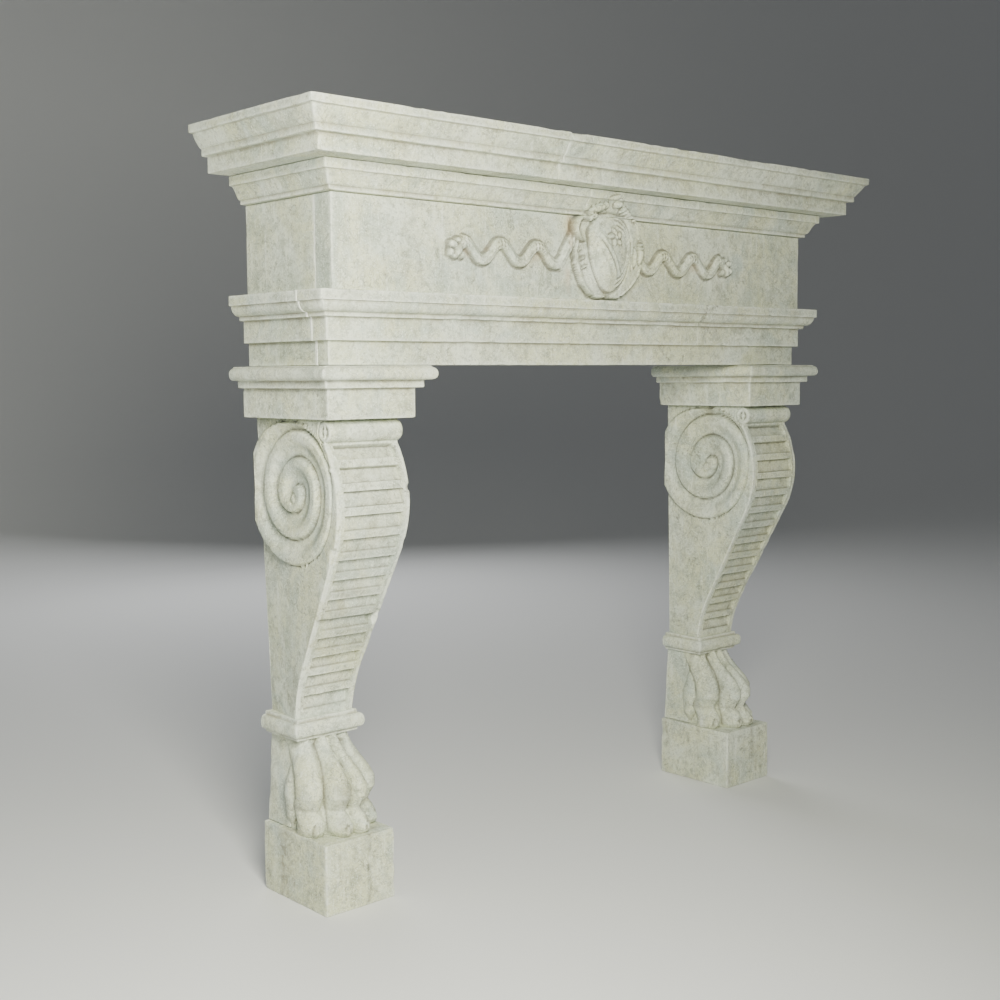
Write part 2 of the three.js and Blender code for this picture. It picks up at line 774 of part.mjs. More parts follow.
const group = new THREE.Group();
for (const [side, word] of [[-1, 'left'], [1, 'right']]) {
  group.add(plinth(`plinth_${word}`, side));
  group.add(leg(`leg_${word}`, side));
  group.add(capital(`capital_${word}`, side));
}
group.add(...architravePieces());
group.add(...friezePieces());
group.add(...bedMouldPieces());
group.add(...cornicePieces());

export default group;
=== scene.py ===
"""Carved limestone fireplace mantel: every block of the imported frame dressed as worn, hand-cut stone.

Shapes are worked out in millimetres as (x, depth, height), where depth is how far a point stands in front
of the wall face, and go into the meshes in metres. Each block is one closed grid of rows and columns.
"""

import itertools
import math

import bpy
import numpy as np
from mathutils import Matrix, Vector


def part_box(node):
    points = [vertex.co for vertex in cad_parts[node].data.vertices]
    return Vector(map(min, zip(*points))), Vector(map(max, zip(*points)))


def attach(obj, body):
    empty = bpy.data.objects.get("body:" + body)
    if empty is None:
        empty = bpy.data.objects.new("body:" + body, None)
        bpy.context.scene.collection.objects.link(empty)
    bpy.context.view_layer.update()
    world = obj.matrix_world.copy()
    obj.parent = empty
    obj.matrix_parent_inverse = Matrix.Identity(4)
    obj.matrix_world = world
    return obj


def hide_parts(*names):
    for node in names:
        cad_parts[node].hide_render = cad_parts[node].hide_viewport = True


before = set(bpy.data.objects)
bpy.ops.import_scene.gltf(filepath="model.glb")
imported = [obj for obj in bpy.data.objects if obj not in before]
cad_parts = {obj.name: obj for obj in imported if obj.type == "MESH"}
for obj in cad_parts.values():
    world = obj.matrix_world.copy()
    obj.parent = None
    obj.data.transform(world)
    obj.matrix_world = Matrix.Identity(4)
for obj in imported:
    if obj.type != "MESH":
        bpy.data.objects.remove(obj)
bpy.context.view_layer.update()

MM = 1000.0
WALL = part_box("cornice_right")[1].y * MM
SIDES = {"left": -1, "right": 1}
OUTER = {"left": "west", "right": "east"}
# Values kept on the mesh points for the stone: worn arrises, painted shade in hollows, rust stain, and dark
# stains with painted shade in sharp lines and creases
MARKS = ("arris", "hollow", "stain", "soot")


def node_box(name):
    """Lowest and highest corner of a CAD node as (x, depth, height) in millimetres."""
    low, high = (np.array(corner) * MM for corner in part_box(name))
    return np.array([low[0], WALL - high[1], low[2]]), np.array([high[0], WALL - low[1], high[2]])


# Levels, joints and faces of the courses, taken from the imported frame
PLINTH_LOW, PLINTH_HIGH = node_box("plinth_right")
LEG_FOOT = PLINTH_HIGH[2]
LEG_TOP = node_box("leg_right")[1][2]
CAPITAL_LOW, CAPITAL_HIGH = node_box("capital_right")
BEAM_LOW, BEAM_HIGH = node_box("architrave_front")
FRIEZE_LOW, FRIEZE_HIGH = node_box("frieze_front")
FRIEZE_SPAN = (FRIEZE_LOW[2], FRIEZE_HIGH[2])
RETURN_INNER = node_box("frieze_return_right")[0][0]
BED_LOW, BED_HIGH = node_box("bed_mould_right")
BED_JOINT = node_box("bed_mould_left")[1][0]
SHELF_LOW, SHELF_HIGH = node_box("cornice_right")
SHELF_JOINT = node_box("cornice_left")[1][0]
FACE_HALF = FRIEZE_HIGH[0]
SLAB_BACK = FRIEZE_LOW[1]
FRIEZE_FACE = 285.5
BEAM_FACE = 270.0
CAPITAL_REACH = 32.0
JOINT_GAP = 0.3
MORTAR_DEPTH = 6.0

# Half width of the frieze's fine grid, and where the crest on the right bed mould ends
CARVED_HALF = 436.0
CREST_END = 84.0

# Worn stone: radii of the arrises, finest step of a path, how far an arris marks its faces, the angle that
# stays sharp, and the cells of the three noises
ARRIS = 2.2
SOFT_ARRIS = 3.2
FINE_STEP = 1.8
MARK_REACH = 3.5
SHARP_DEG = 48
SLOW_CELL, COARSE_CELL, CHIP_CELL = 60, 85, 16
CURVE_STEPS = 6


# Noise and curves

def lattice_noise(points, cell, seed):
    """Smooth noise from -1 to 1: hashed values on a cubic lattice of the given cell, blended with
    part^2 (3 - 2 part) along each axis."""
    place = points / cell + seed * 7.13
    base = np.floor(place).astype(np.int64)
    part = place - base
    part = part * part * (3 - 2 * part)
    total = np.zeros(points.shape[:-1])
    for corner in itertools.product((0, 1), repeat=3):
        at = base + np.array(corner)
        mixed = at[..., 0] * 374761393 + at[..., 1] * 668265263 + at[..., 2] * 1442695041 + seed * 97
        mixed = (mixed ^ (mixed >> 13)) * 1274126177 & 0xFFFFFFFF
        mixed = (mixed ^ (mixed >> 16)) & 0xFFFF
        weight = np.prod(np.where(np.array(corner) == 1, part, 1 - part), axis=-1)
        total += weight * (mixed / 32767.5 - 1)
    return total


def ease(low, high, value):
    """0 below low, 1 above high, and t^2 (3 - 2t) between."""
    t = np.clip((value - low) / (high - low), 0, 1)
    return t * t * (3 - 2 * t)


def hill(value, width):
    """exp(-(value / width)^2): 1 where the value is zero, and less on both sides."""
    return np.exp(-((value / width) ** 2))


def soft_peak(values, sharpness):
    """A rounded maximum over the first axis: log of the sum of exponentials, divided by the sharpness."""
    top = values.max(axis=0)
    return top + np.log(np.exp((values - top) * sharpness).sum(axis=0)) / sharpness


def graded_places(length, step, fine):
    """Places from 0 to length, a few close together at both ends and even between."""
    ends = np.array([fine, fine * 2.4, fine * 4.6])
    if length < 3 * ends[-1]:
        return np.linspace(0, length, max(2, int(length / fine) + 1))
    count = max(1, int(math.ceil((length - 2 * ends[-1]) / step)))
    middle = np.linspace(ends[-1], length - ends[-1], count + 1)
    return np.concatenate([[0], ends[:-1], middle, length - ends[:-1][::-1], [length]])


def rounded_path(corners, flat, radius, steps, closed):
    """A path through corners that is rounded at each one.

    Every corner carries a row of values; flat gives its two plane coordinates, for lengths and turns.
    Round a corner P the path is (1-t)^2 A + 2t(1-t) P + t^2 B, with A and B one radius away on its two
    edges. Returns the rows of values and, for each, how near it is to an outward and to an inward turn.
    """
    count = len(corners)
    edges = range(count if closed else count - 1)
    lengths = [np.linalg.norm(flat[(i + 1) % count] - flat[i]) for i in edges]
    cuts = np.zeros(count)
    turns = np.zeros(count)
    for i in range(count) if closed else range(1, count - 1):
        before, after = flat[i] - flat[i - 1], flat[(i + 1) % count] - flat[i]
        cuts[i] = min(radius, 0.3 * lengths[i - 1], 0.3 * lengths[i % len(lengths)])
        cross = before[0] * after[1] - before[1] * after[0]
        turns[i] = cross / (np.linalg.norm(before) * np.linalg.norm(after))
    values, outward, inward = [], [], []
    for i in edges:
        j = (i + 1) % count
        length, step = lengths[i], steps[i] if np.ndim(steps) else steps
        along = cuts[i] + graded_places(length - cuts[i] - cuts[j], step, FINE_STEP)
        share = (along / length)[:, None]
        values.append(corners[i] * (1 - share) + corners[j] * share)
        near = np.exp(-np.stack([along - cuts[i], length - cuts[j] - along]) / MARK_REACH)
        ends = np.array([turns[i], turns[j]])[:, None]
        outward.append((near * np.clip(ends, 0, 1)).max(axis=0))
        inward.append((near * np.clip(-ends, 0, 1)).max(axis=0))
        if cuts[j] > 0:
            k = (j + 1) % count
            t = np.array([0.25, 0.5, 0.75])[:, None]
            start = corners[j] + (corners[i] - corners[j]) * cuts[j] / length
            end = corners[j] + (corners[k] - corners[j]) * cuts[j] / np.linalg.norm(flat[k] - flat[j])
            values.append((1 - t) ** 2 * start + 2 * t * (1 - t) * corners[j] + t**2 * end)
            outward.append(np.full(3, max(turns[j], 0)))
            inward.append(np.full(3, max(-turns[j], 0)))
    return np.concatenate(values), np.concatenate(outward), np.concatenate(inward)


# Grids into meshes

def grid_normals(points):
    """Outward direction at each point of a grid that closes on itself along its columns: the cross product
    of the differences to its neighbours, turned to point away from the middle of its row."""
    across = np.roll(points, -1, axis=1) - np.roll(points, 1, axis=1)
    up = np.gradient(points, axis=0)
    normals = np.cross(across, up)
    normals /= np.maximum(np.linalg.norm(normals, axis=-1, keepdims=True), 1e-9)
    away = points - points.mean(axis=1, keepdims=True)
    sign = np.sign((normals * away).sum(axis=-1).mean())
    return normals * sign


def weathered(points, arris, seed, bite=2.2, wave=0.5):
    """Wears a grid: faces sink by up to wave in a slow noise, and arrises lose up to bite where a coarse
    and a fine noise agree."""
    normals = grid_normals(points)
    slow = 0.5 + 0.5 * lattice_noise(points, SLOW_CELL, seed)
    coarse = lattice_noise(points, COARSE_CELL, seed + 1)
    fine = lattice_noise(points, CHIP_CELL, seed + 2)
    loss = ease(0.05, 0.9, 0.45 * coarse + 0.75 * fine)
    sink = wave * slow + arris * (0.25 + bite * loss)
    return points - normals * sink[..., None]


def placed(name, data):
    """A new object in the scene that shows the given data."""
    thing = bpy.data.objects.new(name, data)
    bpy.context.scene.collection.objects.link(thing)
    return thing


def grid_object(name, points, marks):
    """One closed mesh from a grid of rows and columns: quads between neighbours, columns closed on
    themselves, and one face over the first and the last row. marks are values kept on the points."""
    rows, columns = points.shape[:2]
    index = np.arange(rows * columns).reshape(rows, columns)
    right = np.roll(index, -1, axis=1)
    quads = np.stack([index[:-1], right[:-1], right[1:], index[1:]], axis=-1).reshape(-1, 4)
    place = points.reshape(-1, 3)
    metres = np.stack([place[:, 0], WALL - place[:, 1], place[:, 2]], axis=-1) / MM
    first, last = index[0][::-1], index[-1]
    corners = metres[quads]
    volume = np.einsum("ij,ij->i", corners[:, 0], np.cross(corners[:, 1], corners[:, 2])).sum()
    volume += np.einsum("ij,ij->i", corners[:, 0], np.cross(corners[:, 2], corners[:, 3])).sum()
    for cap in (first, last):
        fan = metres[cap]
        volume += np.einsum("j,ij->i", fan[0], np.cross(fan[1:-1], fan[2:])).sum()
    if volume < 0:
        quads, first, last = quads[:, ::-1], first[::-1], last[::-1]
    loops = np.concatenate([quads.ravel(), first, last])
    totals = np.concatenate([np.full(len(quads), 4), [columns, columns]])
    starts = np.concatenate([[0], np.cumsum(totals)[:-1]])
    mesh = bpy.data.meshes.new(name)
    mesh.vertices.add(len(metres))
    mesh.vertices.foreach_set("co", metres.ravel().astype(np.float32))
    mesh.loops.add(len(loops))
    mesh.loops.foreach_set("vertex_index", loops.astype(np.int32))
    mesh.polygons.add(len(totals))
    mesh.polygons.foreach_set("loop_start", starts.astype(np.int32))
    mesh.polygons.foreach_set("loop_total", totals.astype(np.int32))
    mesh.update(calc_edges=True)
    mesh.validate()
    mesh.polygons.foreach_set("use_smooth", np.ones(len(mesh.polygons), dtype=bool))
    mesh.set_sharp_from_angle(angle=math.radians(SHARP_DEG))
    for word in MARKS:
        layer = mesh.attributes.new(word, "FLOAT", "POINT")
        value = marks.get(word, np.zeros(points.shape[:2]))
        layer.data.foreach_set("value", np.clip(value, 0, 1).ravel().astype(np.float32))
    return placed(name, mesh)


def finished(thing, material, node):
    """Gives a piece its stone and lets it stand for its CAD node."""
    thing.data.materials.append(material)
    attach(thing, "root")
    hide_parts(node)


# Courses: a plan carried up a profile

def plan_corners(corners, spreads):
    """Corners of a plan with what each carries: its place, how it moves with the projection, and how it
    moves when the whole plan is drawn in by one millimetre."""
    place = np.array(corners, float)
    ahead = np.roll(place, -1, axis=0) - place
    back = place - np.roll(place, 1, axis=0)
    ahead /= np.linalg.norm(ahead, axis=1, keepdims=True)
    back /= np.linalg.norm(back, axis=1, keepdims=True)
    inset = ahead - back
    turn = back[:, 0] * ahead[:, 1] - back[:, 1] * ahead[:, 0]
    x, y = place.T
    wound = np.sign((x * np.roll(y, -1) - np.roll(x, -1) * y).sum())
    inset *= np.sign(turn * wound)[:, None]
    return np.concatenate([place, np.array(spreads, float), inset], axis=1)


def course_grid(plan, profile, steps, row_step, radius=ARRIS, inset=9.0):
    """Grid of a moulded block: point = plan place + projection x spread + drawn-in distance x inset, for
    every place round the plan and every place up the profile, whose two ends turn in over the beds."""
    low, high = profile[0], profile[-1]
    path = [(low[0], inset, low[1])]
    path += [(reach, 0.0, height) for reach, height in profile]
    path += [(high[0], inset, high[1])]
    path = np.array(path, float)
    flat = np.stack([path[:, 0] - path[:, 1], path[:, 2]], axis=1)
    rows, row_out, row_in = rounded_path(path, flat, radius, row_step, False)
    place = plan[:, :2]
    x, y = place.T
    wound = np.sign((x * np.roll(y, -1) - np.roll(x, -1) * y).sum())
    if wound < 0:
        plan = plan[::-1]
        steps = list(steps[:-1])[::-1] + [steps[-1]] if np.ndim(steps) else steps
    columns, column_out, column_in = rounded_path(plan, plan[:, :2], radius, steps, True)
    points = np.empty((len(rows), len(columns), 3))
    points[..., :2] = columns[None, :, :2] + rows[:, 0, None, None] * columns[None, :, 2:4]
    points[..., :2] += rows[:, 1, None, None] * columns[None, :, 4:6]
    points[..., 2] = rows[:, 2, None]
    spread = np.linalg.norm(columns[:, 2:4], axis=1).clip(0, 1)
    arris = np.maximum(row_out[:, None] * (0.3 + 0.7 * spread), column_out[None, :])
    # hollow: painted shade in the inward corners of the profile and of the plan
    hollow = np.maximum(row_in[:, None] * spread, column_in[None, :])
    return points, {"arris": arris, "hollow": hollow}


def box_plan(x0, x1, depth0, depth1, moulded):
    """Four corners of a plan; moulded names the faces, in one string, that the profile stands out from."""
    west, east, front = ("west" in moulded), ("east" in moulded), ("front" in moulded)
    corners = [(x0, depth0), (x1, depth0), (x1, depth1), (x0, depth1)]
    spreads = [(-west, 0), (east, 0), (east, front), (-west, front)]
    return plan_corners(corners, spreads)


def curve(start, *parts):
    """A moulding profile from straight and curved parts: a part is an end point, or a middle and an end
    of the parabola (1-t)^2 A + 2t(1-t) M + t^2 B."""
    points = [start]
    for part in parts:
        if np.ndim(part[0]) == 0:
            points.append(part)
            continue
        begin, middle, end = (np.array(p, float) for p in (points[-1], *part))
        for t in np.linspace(0, 1, CURVE_STEPS + 1)[1:]:
            points.append(tuple((1 - t) ** 2 * begin + 2 * t * (1 - t) * middle + t**2 * end))
    return points


def shelf_profile():
    """Fascia, fillet, cyma and top fillet of the shelf, as projection beyond the frieze against height."""
    base, top = SHELF_LOW[2], SHELF_HIGH[2]
    return curve(
        (81.5, base), (81.0, base + 31), (94.5, base + 31), (94.0, base + 43.5),
        ((98, base + 43.5), (104, base + 54)), ((111, base + 66), (113.5, base + 70.5)),
        (120.4, base + 71), (120.2, top),
    )


def bed_mould_profile():
    """Fillet, cyma and fillet of the bed mould."""
    base, top = BED_LOW[2], BED_HIGH[2]
    return curve(
        (11.5, base), (11.5, base + 8), ((17, base + 8), (20.5, base + 18)),
        ((26, base + 31), (31, base + 34)), (35.6, base + 34), (35.6, top),
    )


def beam_profile():
    """Two fascias, bead, ovolo and top fillet of the architrave."""
    base, top = BEAM_LOW[2], BEAM_HIGH[2]
    return curve(
        (0, base), (0, base + 44.5), (10.6, base + 44.5), (10.6, base + 87.5), (20.4, base + 87.5),
        (20.4, base + 95.5), ((36, base + 95.5), (38.5, base + 115.5)), (43, base + 115.5), (43, top),
    )


def capital_profile():
    """Block, neck fillet and half-round roll of a capital."""
    base, top = CAPITAL_LOW[2], CAPITAL_HIGH[2]
    neck = base + 71.5
    return curve(
        (0, base), (0, base + 57), (12.5, base + 57), (12.5, neck), (20, neck),
        ((32, neck), (32, neck + 12)), ((32, neck + 22), (23, neck + 25)), (22, top),
    )


def plain_profile(low, high):
    """An upright face."""
    return [(0, low), (0, high)]


# Legs: the scroll

PLINTH_CENTRE = (PLINTH_LOW[0] + PLINTH_HIGH[0]) / 2
LEG_LEAN = 7.3
COLLAR_LOW = 320.0
COLLAR_TOP = 364.5
BELLY_DEPTH = 287.0
BELLY_HEIGHT = 793.0
BELLY_RADIUS = 200.0
SHANK_LEAN = math.radians(28)
WAIST_HEIGHT = 460.0
WAIST_RADIUS = 260.0
SHOULDER_HEIGHT = 905.0
FRONT_HALF = (68.5, 85.0)
BACK_HALF = (54.0, 69.0)
PANEL_COUNT = 13
PANEL_TOP = 903.2
PANEL_SHARE = 0.63
PANEL_RIM = 17.0
PANEL_DEPTH = 11.5
ROLLER_RADIUS = 20.0
ROLLER_DEPTH = 250.0
ROLLER_HEIGHT = 928.5
ROLLER_ROOM = 0.8
ROLLER_RECESS = 7.0
VOLUTE_HEIGHT = 812.0
VOLUTE_REAR = 125.0
VOLUTE_STEP = 25.5
VOLUTE_INSET = 8.0
VOLUTE_RELIEF = 9.5
VOLUTE_GROOVE = 2.2
VOLUTE_BACK_HALF = 81.5
RIM_MIDDLE = 125.5
RIM_HALF = 145.5
RIM_RISE = 135.0
RIM_POWER = 2.4
EYE_PLACE = (136.0, 799.0)
EYE_RADIUS = 11.0

# Losses on the front of the left leg: across, height, reach and depth of each chip
LEFT_CHIPS = (
    (-84, 702, 12, 9), (-82, 690, 8, 6), (62, 556, 11, 9), (70, 568, 8, 6), (83, 820, 7, 5), (-84, 860, 5, 4),
)
CRACK_HEIGHT = 567.0


def leg_centre(height):
    """x of the middle of a right-hand leg, which leans out a little towards its top."""
    return PLINTH_CENTRE + LEG_LEAN * (height - LEG_FOOT) / (LEG_TOP - LEG_FOOT)


def front_line(height):
    """Depth of the scroll's front: waist arc, straight shank, belly arc, and an upright face above."""
    belly_middle = BELLY_DEPTH - BELLY_RADIUS
    shank_top = BELLY_HEIGHT - BELLY_RADIUS * math.sin(SHANK_LEAN)
    shank_depth = belly_middle + BELLY_RADIUS * math.cos(SHANK_LEAN)
    waist_depth = shank_depth - (shank_top - WAIST_HEIGHT) * math.tan(SHANK_LEAN)
    arc_depth = waist_depth + WAIST_RADIUS * math.cos(SHANK_LEAN)
    arc_height = WAIST_HEIGHT - WAIST_RADIUS * math.sin(SHANK_LEAN)
    level = np.minimum(height, SHOULDER_HEIGHT)
    belly = belly_middle + np.sqrt(np.maximum(BELLY_RADIUS**2 - (level - BELLY_HEIGHT) ** 2, 0))
    shank = shank_depth - (shank_top - level) * math.tan(SHANK_LEAN)
    waist = arc_depth - np.sqrt(np.maximum(WAIST_RADIUS**2 - (level - arc_height) ** 2, 0))
    return np.where(level > shank_top, belly, np.where(level > WAIST_HEIGHT, shank, waist))


def front_half(height):
    """Half width at the front arris."""
    share = np.clip((height - COLLAR_TOP) / (BELLY_HEIGHT - COLLAR_TOP), 0, 1)
    return FRONT_HALF[0] + (FRONT_HALF[1] - FRONT_HALF[0]) * share


def back_half(height):
    """Half width at the wall."""
    share = (height - COLLAR_TOP) / (LEG_TOP - COLLAR_TOP)
    return BACK_HALF[0] + (BACK_HALF[1] - BACK_HALF[0]) * share


def panel_edges():
    """Heights of the top and the foot of each recessed panel, evenly spaced by length along the front."""
    height = np.linspace(COLLAR_TOP, PANEL_TOP, 4000)
    depth = front_line(height)
    length = np.concatenate([[0], np.cumsum(np.hypot(np.diff(height), np.diff(depth)))])
    pitch = length[-1] / PANEL_COUNT
    top = length[-1] - pitch * np.arange(PANEL_COUNT)
    return np.interp(top, length, height), np.interp(top - PANEL_SHARE * pitch, length, height)


def scroll_heights():
    """Rows up the scroll: even ones, and a close pair at the top and foot of every panel."""
    tops, feet = panel_edges()
    edges = np.concatenate([tops, feet])
    pairs = np.concatenate([edges - 1.6, edges - 0.35, edges + 0.35, edges + 1.6])
    even = np.arange(COLLAR_TOP - 4, LEG_TOP - 4, 3.8)
    even = even[np.abs(even[:, None] - pairs[None, :]).min(axis=1) > 0.8]
    cap = [LEG_TOP - 3, LEG_TOP - 1.5, LEG_TOP - 0.5, LEG_TOP]
    return np.sort(np.concatenate([even, pairs, cap]))


def volute_relief(depth, height):
    """Half width of the leg's side within the volute, where it lies, and how near each point is to the
    spiral line.

    The spiral is struck from two centres, one step apart: above the eye line from the forward one and
    below it from the rear one. turn = (radius + inset - first radius) / (2 steps), and its fraction runs
    across the band from 0 to 1: a groove, a hollow, and a roll that peaks at three quarters. Above the
    last line the band narrows against a rim |d/half|^p + |rise/height|^p = 1 under the top of the leg.
    """
    above = height >= VOLUTE_HEIGHT
    rise = height - VOLUTE_HEIGHT
    band = 2 * VOLUTE_STEP
    radius = np.hypot(depth - np.where(above, VOLUTE_REAR + VOLUTE_STEP, VOLUTE_REAR), rise) + VOLUTE_INSET
    turn = (radius - np.where(above, VOLUTE_STEP, band)) / band
    wide, tall = np.abs(depth - RIM_MIDDLE) / RIM_HALF, np.abs(rise) / RIM_RISE
    rim = (wide**RIM_POWER + tall**RIM_POWER) ** (1 / RIM_POWER)
    past, short = radius - 5 * VOLUTE_STEP, (1 - rim) * RIM_HALF
    outer = above & (past > 0)
    width = np.where(outer, np.maximum(past + short, 0.5), band)
    across = np.where(outer, past / width, turn - np.floor(turn))
    inside = np.where(above, rim < 1, radius < 3 * band)
    roll = ease(0.2, 0.66, across) * (1 - ease(0.86, 1.0, across))
    line = hill(np.minimum(across, 1 - across) * width, 2.0)
    half = VOLUTE_BACK_HALF + (front_half(height) - VOLUTE_BACK_HALF) * depth / front_line(height)
    side = half - VOLUTE_RELIEF * (1 - roll) - VOLUTE_GROOVE * line
    eye = np.hypot(depth - EYE_PLACE[0], height - EYE_PLACE[1]) / EYE_RADIUS
    side = np.where(eye < 1, half - 6 + 6 * np.sqrt(np.clip(1 - eye**2, 0, 1)), side)
    return side, inside, line


def scroll_columns():
    """Columns round the scroll, as weights: x = a front half + b back half + shift, depth = c front line +
    drop, and how far each interior column is into the panel."""
    side = np.linspace(0, 1, 116)
    turn = np.linspace(0, math.pi / 2, 5)[1:-1]
    rim = np.array([SOFT_ARRIS, 5.5, 8.5, 11.5, 14.2, PANEL_RIM - 1.4, PANEL_RIM - 0.4])
    inner = np.concatenate([[0.995, 0.975], np.linspace(0.93, 0, 9)])
    rows = [(t, 1 - t, 0, t, -t * SOFT_ARRIS, 0) for t in side]
    rows += [
        (1, 0, -SOFT_ARRIS * (1 - math.cos(a)), 1, -SOFT_ARRIS * (1 - math.sin(a)), 0) for a in turn
    ]
    rows += [(1, 0, -e, 1, 0, 0) for e in rim]
    rows += [(c, 0, -c * PANEL_RIM, 1, 0, 1) for c in inner]
    half = np.array(rows)
    mirrored = half[::-1][1:] * np.array([-1, -1, -1, 1, 1, 1])
    back = np.linspace(-1, 1, 10)[1:-1]
    flat = np.stack([0 * back, back, 0 * back, 0 * back, 0 * back, 0 * back], axis=1)
    return np.concatenate([half, mirrored, flat])


def panel_floor(heights):
    """How deep each row lies below the front line, and how near it is to a panel's top or foot: a panel
    is deepest under its top edge and scoops up to its foot by 1 - 0.5 t^1.6."""
    tops, feet = panel_edges()
    inside = ((heights[:, None] < tops) & (heights[:, None] > feet)).any(axis=1)
    panel = np.argmin(np.abs(heights[:, None] - (tops + feet) / 2), axis=1)
    down = np.clip((tops[panel] - heights) / (tops - feet)[panel], 0, 1)
    edge = np.abs(heights[:, None] - np.concatenate([tops, feet])).min(axis=1)
    return PANEL_DEPTH * (1 - 0.5 * down**1.6) * inside, edge, inside


def leg_losses(across, height, side):
    """Chips along the arrises of the left leg and the rough crack across its ninth panel."""
    loss = np.zeros(across.shape)
    if side > 0:
        return loss, loss
    place = np.stack([across, 0 * across, height], axis=-1)
    rough = lattice_noise(place, 9, 17)
    for chip_across, chip_height, reach, deep in LEFT_CHIPS:
        away = np.hypot(across - chip_across, (height - chip_height) * 0.8) / reach
        loss = np.maximum(loss, deep * (1 - ease(0.35, 1.0, away + 0.22 * rough)))
    course = CRACK_HEIGHT + 3 * lattice_noise(place, 26, 19)
    crack = hill(height - course, 2.6) * (1 - ease(60, 78, np.abs(across)))
    return loss + 5.5 * crack * (0.7 + 0.3 * rough), crack


def scroll_grid(side, seed):
    """The scroll of one leg: rows at heights, columns round its plan; panels sink along the inward normal
    of the front line, and both sides take the volute's relief and make room for the roller's ends."""
    heights = scroll_heights()
    columns = scroll_columns()
    front, half, rear = front_line(heights), front_half(heights), back_half(heights)
    x = np.outer(half, columns[:, 0]) + np.outer(rear, columns[:, 1]) + columns[None, :, 2]
    depth = np.outer(front, columns[:, 3]) + columns[None, :, 4]
    height = np.repeat(heights[:, None], len(columns), axis=1)
    sign = np.sign(x)

    on_side = (columns[:, 3] > 0) & (np.abs(np.abs(columns[:, 0]) + np.abs(columns[:, 1]) - 1) < 1e-9)
    on_side &= np.abs(columns[:, 2]) < 1e-9
    relief, inside, line = volute_relief(depth, height)
    in_volute = inside & on_side
    near_roller = np.hypot(depth - ROLLER_DEPTH, height - ROLLER_HEIGHT) < ROLLER_RADIUS + ROLLER_ROOM
    reach = np.where(in_volute, relief, np.abs(x))
    reach = np.where(on_side & near_roller, np.minimum(reach, half[:, None] - ROLLER_RECESS), reach)
    reach = reach - ease(LEG_TOP - 3.5, LEG_TOP, heights)[:, None] * 2.0 * on_side
    losses, crack = leg_losses(x, height, side)
    x = sign * reach

    slope = np.gradient(front, heights)
    run = np.sqrt(1 + slope**2)
    floor, edge, in_panel = panel_floor(heights)
    in_columns = columns[:, 5] > 0
    sunk = floor[:, None] * in_columns[None, :]
    sunk = sunk + losses * (columns[:, 3] > 0.97)[None, :]
    depth = depth - sunk / run[:, None]
    height = height + sunk * (slope / run)[:, None]

    points = np.stack([x, depth, height], axis=-1)
    rim = (columns[:, 3] > 0.999) & (np.abs(columns[:, 2]) < 9) & ~in_columns
    lip = np.exp(-edge / 2.5)
    arris = np.maximum(0.9 * rim[None, :], 0.6 * (lip * ~in_panel)[:, None] * in_columns)
    # Painted shade along the top and foot of every panel, over the sunk panel floors and in the volute's
    # spiral line; the crack is darkened as well
    inner_corner = in_columns & (np.abs(np.abs(columns[:, 2]) - PANEL_RIM) < 0.6)
    corner = np.exp(-edge / 1.3)[:, None] * np.maximum(in_columns, inner_corner) * in_panel[:, None]
    hollow = np.maximum(0.3 * (sunk > 0), 0.85 * corner)
    hollow = np.maximum(hollow, 0.45 * in_volute * line)
    soot = np.maximum(0.75 * corner, 0.85 * line * in_volute)
    soot = np.maximum(soot, 0.9 * crack * (columns[:, 3] > 0.97))
    points = weathered(points, arris, seed, bite=1.8, wave=0.9)
    points[..., 0] += side * leg_centre(points[..., 2])
    return points, {"arris": arris, "hollow": hollow, "soot": soot}


def roller_grid(side, seed):
    """The roll under the capital: a bar turned about x, each end a ring, a groove and a button."""
    half = front_half(ROLLER_HEIGHT)
    profile = np.array([
        (half - 1.4, 1.0), (half - 2.0, 4.5), (half - 4.8, 6.8), (half - 5.2, 9.0), (half - 2.4, 11.2),
        (half - 1.0, 13.8), (half - 0.8, 16.4), (half - 1.8, 18.8), (half - 4.2, 20.0), (half - 12, 20.0),
        (half * 0.5, 19.6), (half * 0.2, 19.9), (0, 19.6),
    ])
    profile = np.concatenate([profile, profile[::-1][1:] * [-1, 1]])
    along, radius = profile.T
    angle = np.linspace(0, 2 * math.pi, 65)[:-1]
    points = np.empty((len(along), len(angle), 3))
    points[..., 0] = along[:, None]
    points[..., 1] = ROLLER_DEPTH + radius[:, None] * np.cos(angle)
    points[..., 2] = ROLLER_HEIGHT + radius[:, None] * np.sin(angle)
    points[..., 0] += side * leg_centre(ROLLER_HEIGHT)
    rim = np.abs(np.abs(along) - half + 2) < 1.4
    # The groove inside each end ring gets painted shade
    dip = np.abs(np.abs(along) - half + 5) < 0.4
    wide = np.ones(len(angle))
    return points, {"arris": np.outer(rim * 0.7, wide), "soot": np.outer(dip * 0.6, wide)}


# Legs: collar, paw and the block behind it

COLLAR_HALF = 83.5
COLLAR_DEPTH = 128.0
PAW_TOP = COLLAR_LOW + 4
PAW_MIDDLE = 84.0
PAW_BLOCK_DEPTH = 82.0
PAW_BLOCK_HALF = (72.0, 60.0)
TOE_SPACING = 42.0
TOE_COUNT = 4
TOE_LENGTH = 45.0
OUTER_TOE_LENGTH = 31.0
OUTER_TOE_SHARE = 0.7
TOE_TURN = math.radians(9)
BODY_POWER = 2.1
CLAW_LEVEL = 153.0
CLAW_RISE = 15.0
CLAW_RADII = (5.5, 9.0)
PAD_RADII = (17.0, 24.0)

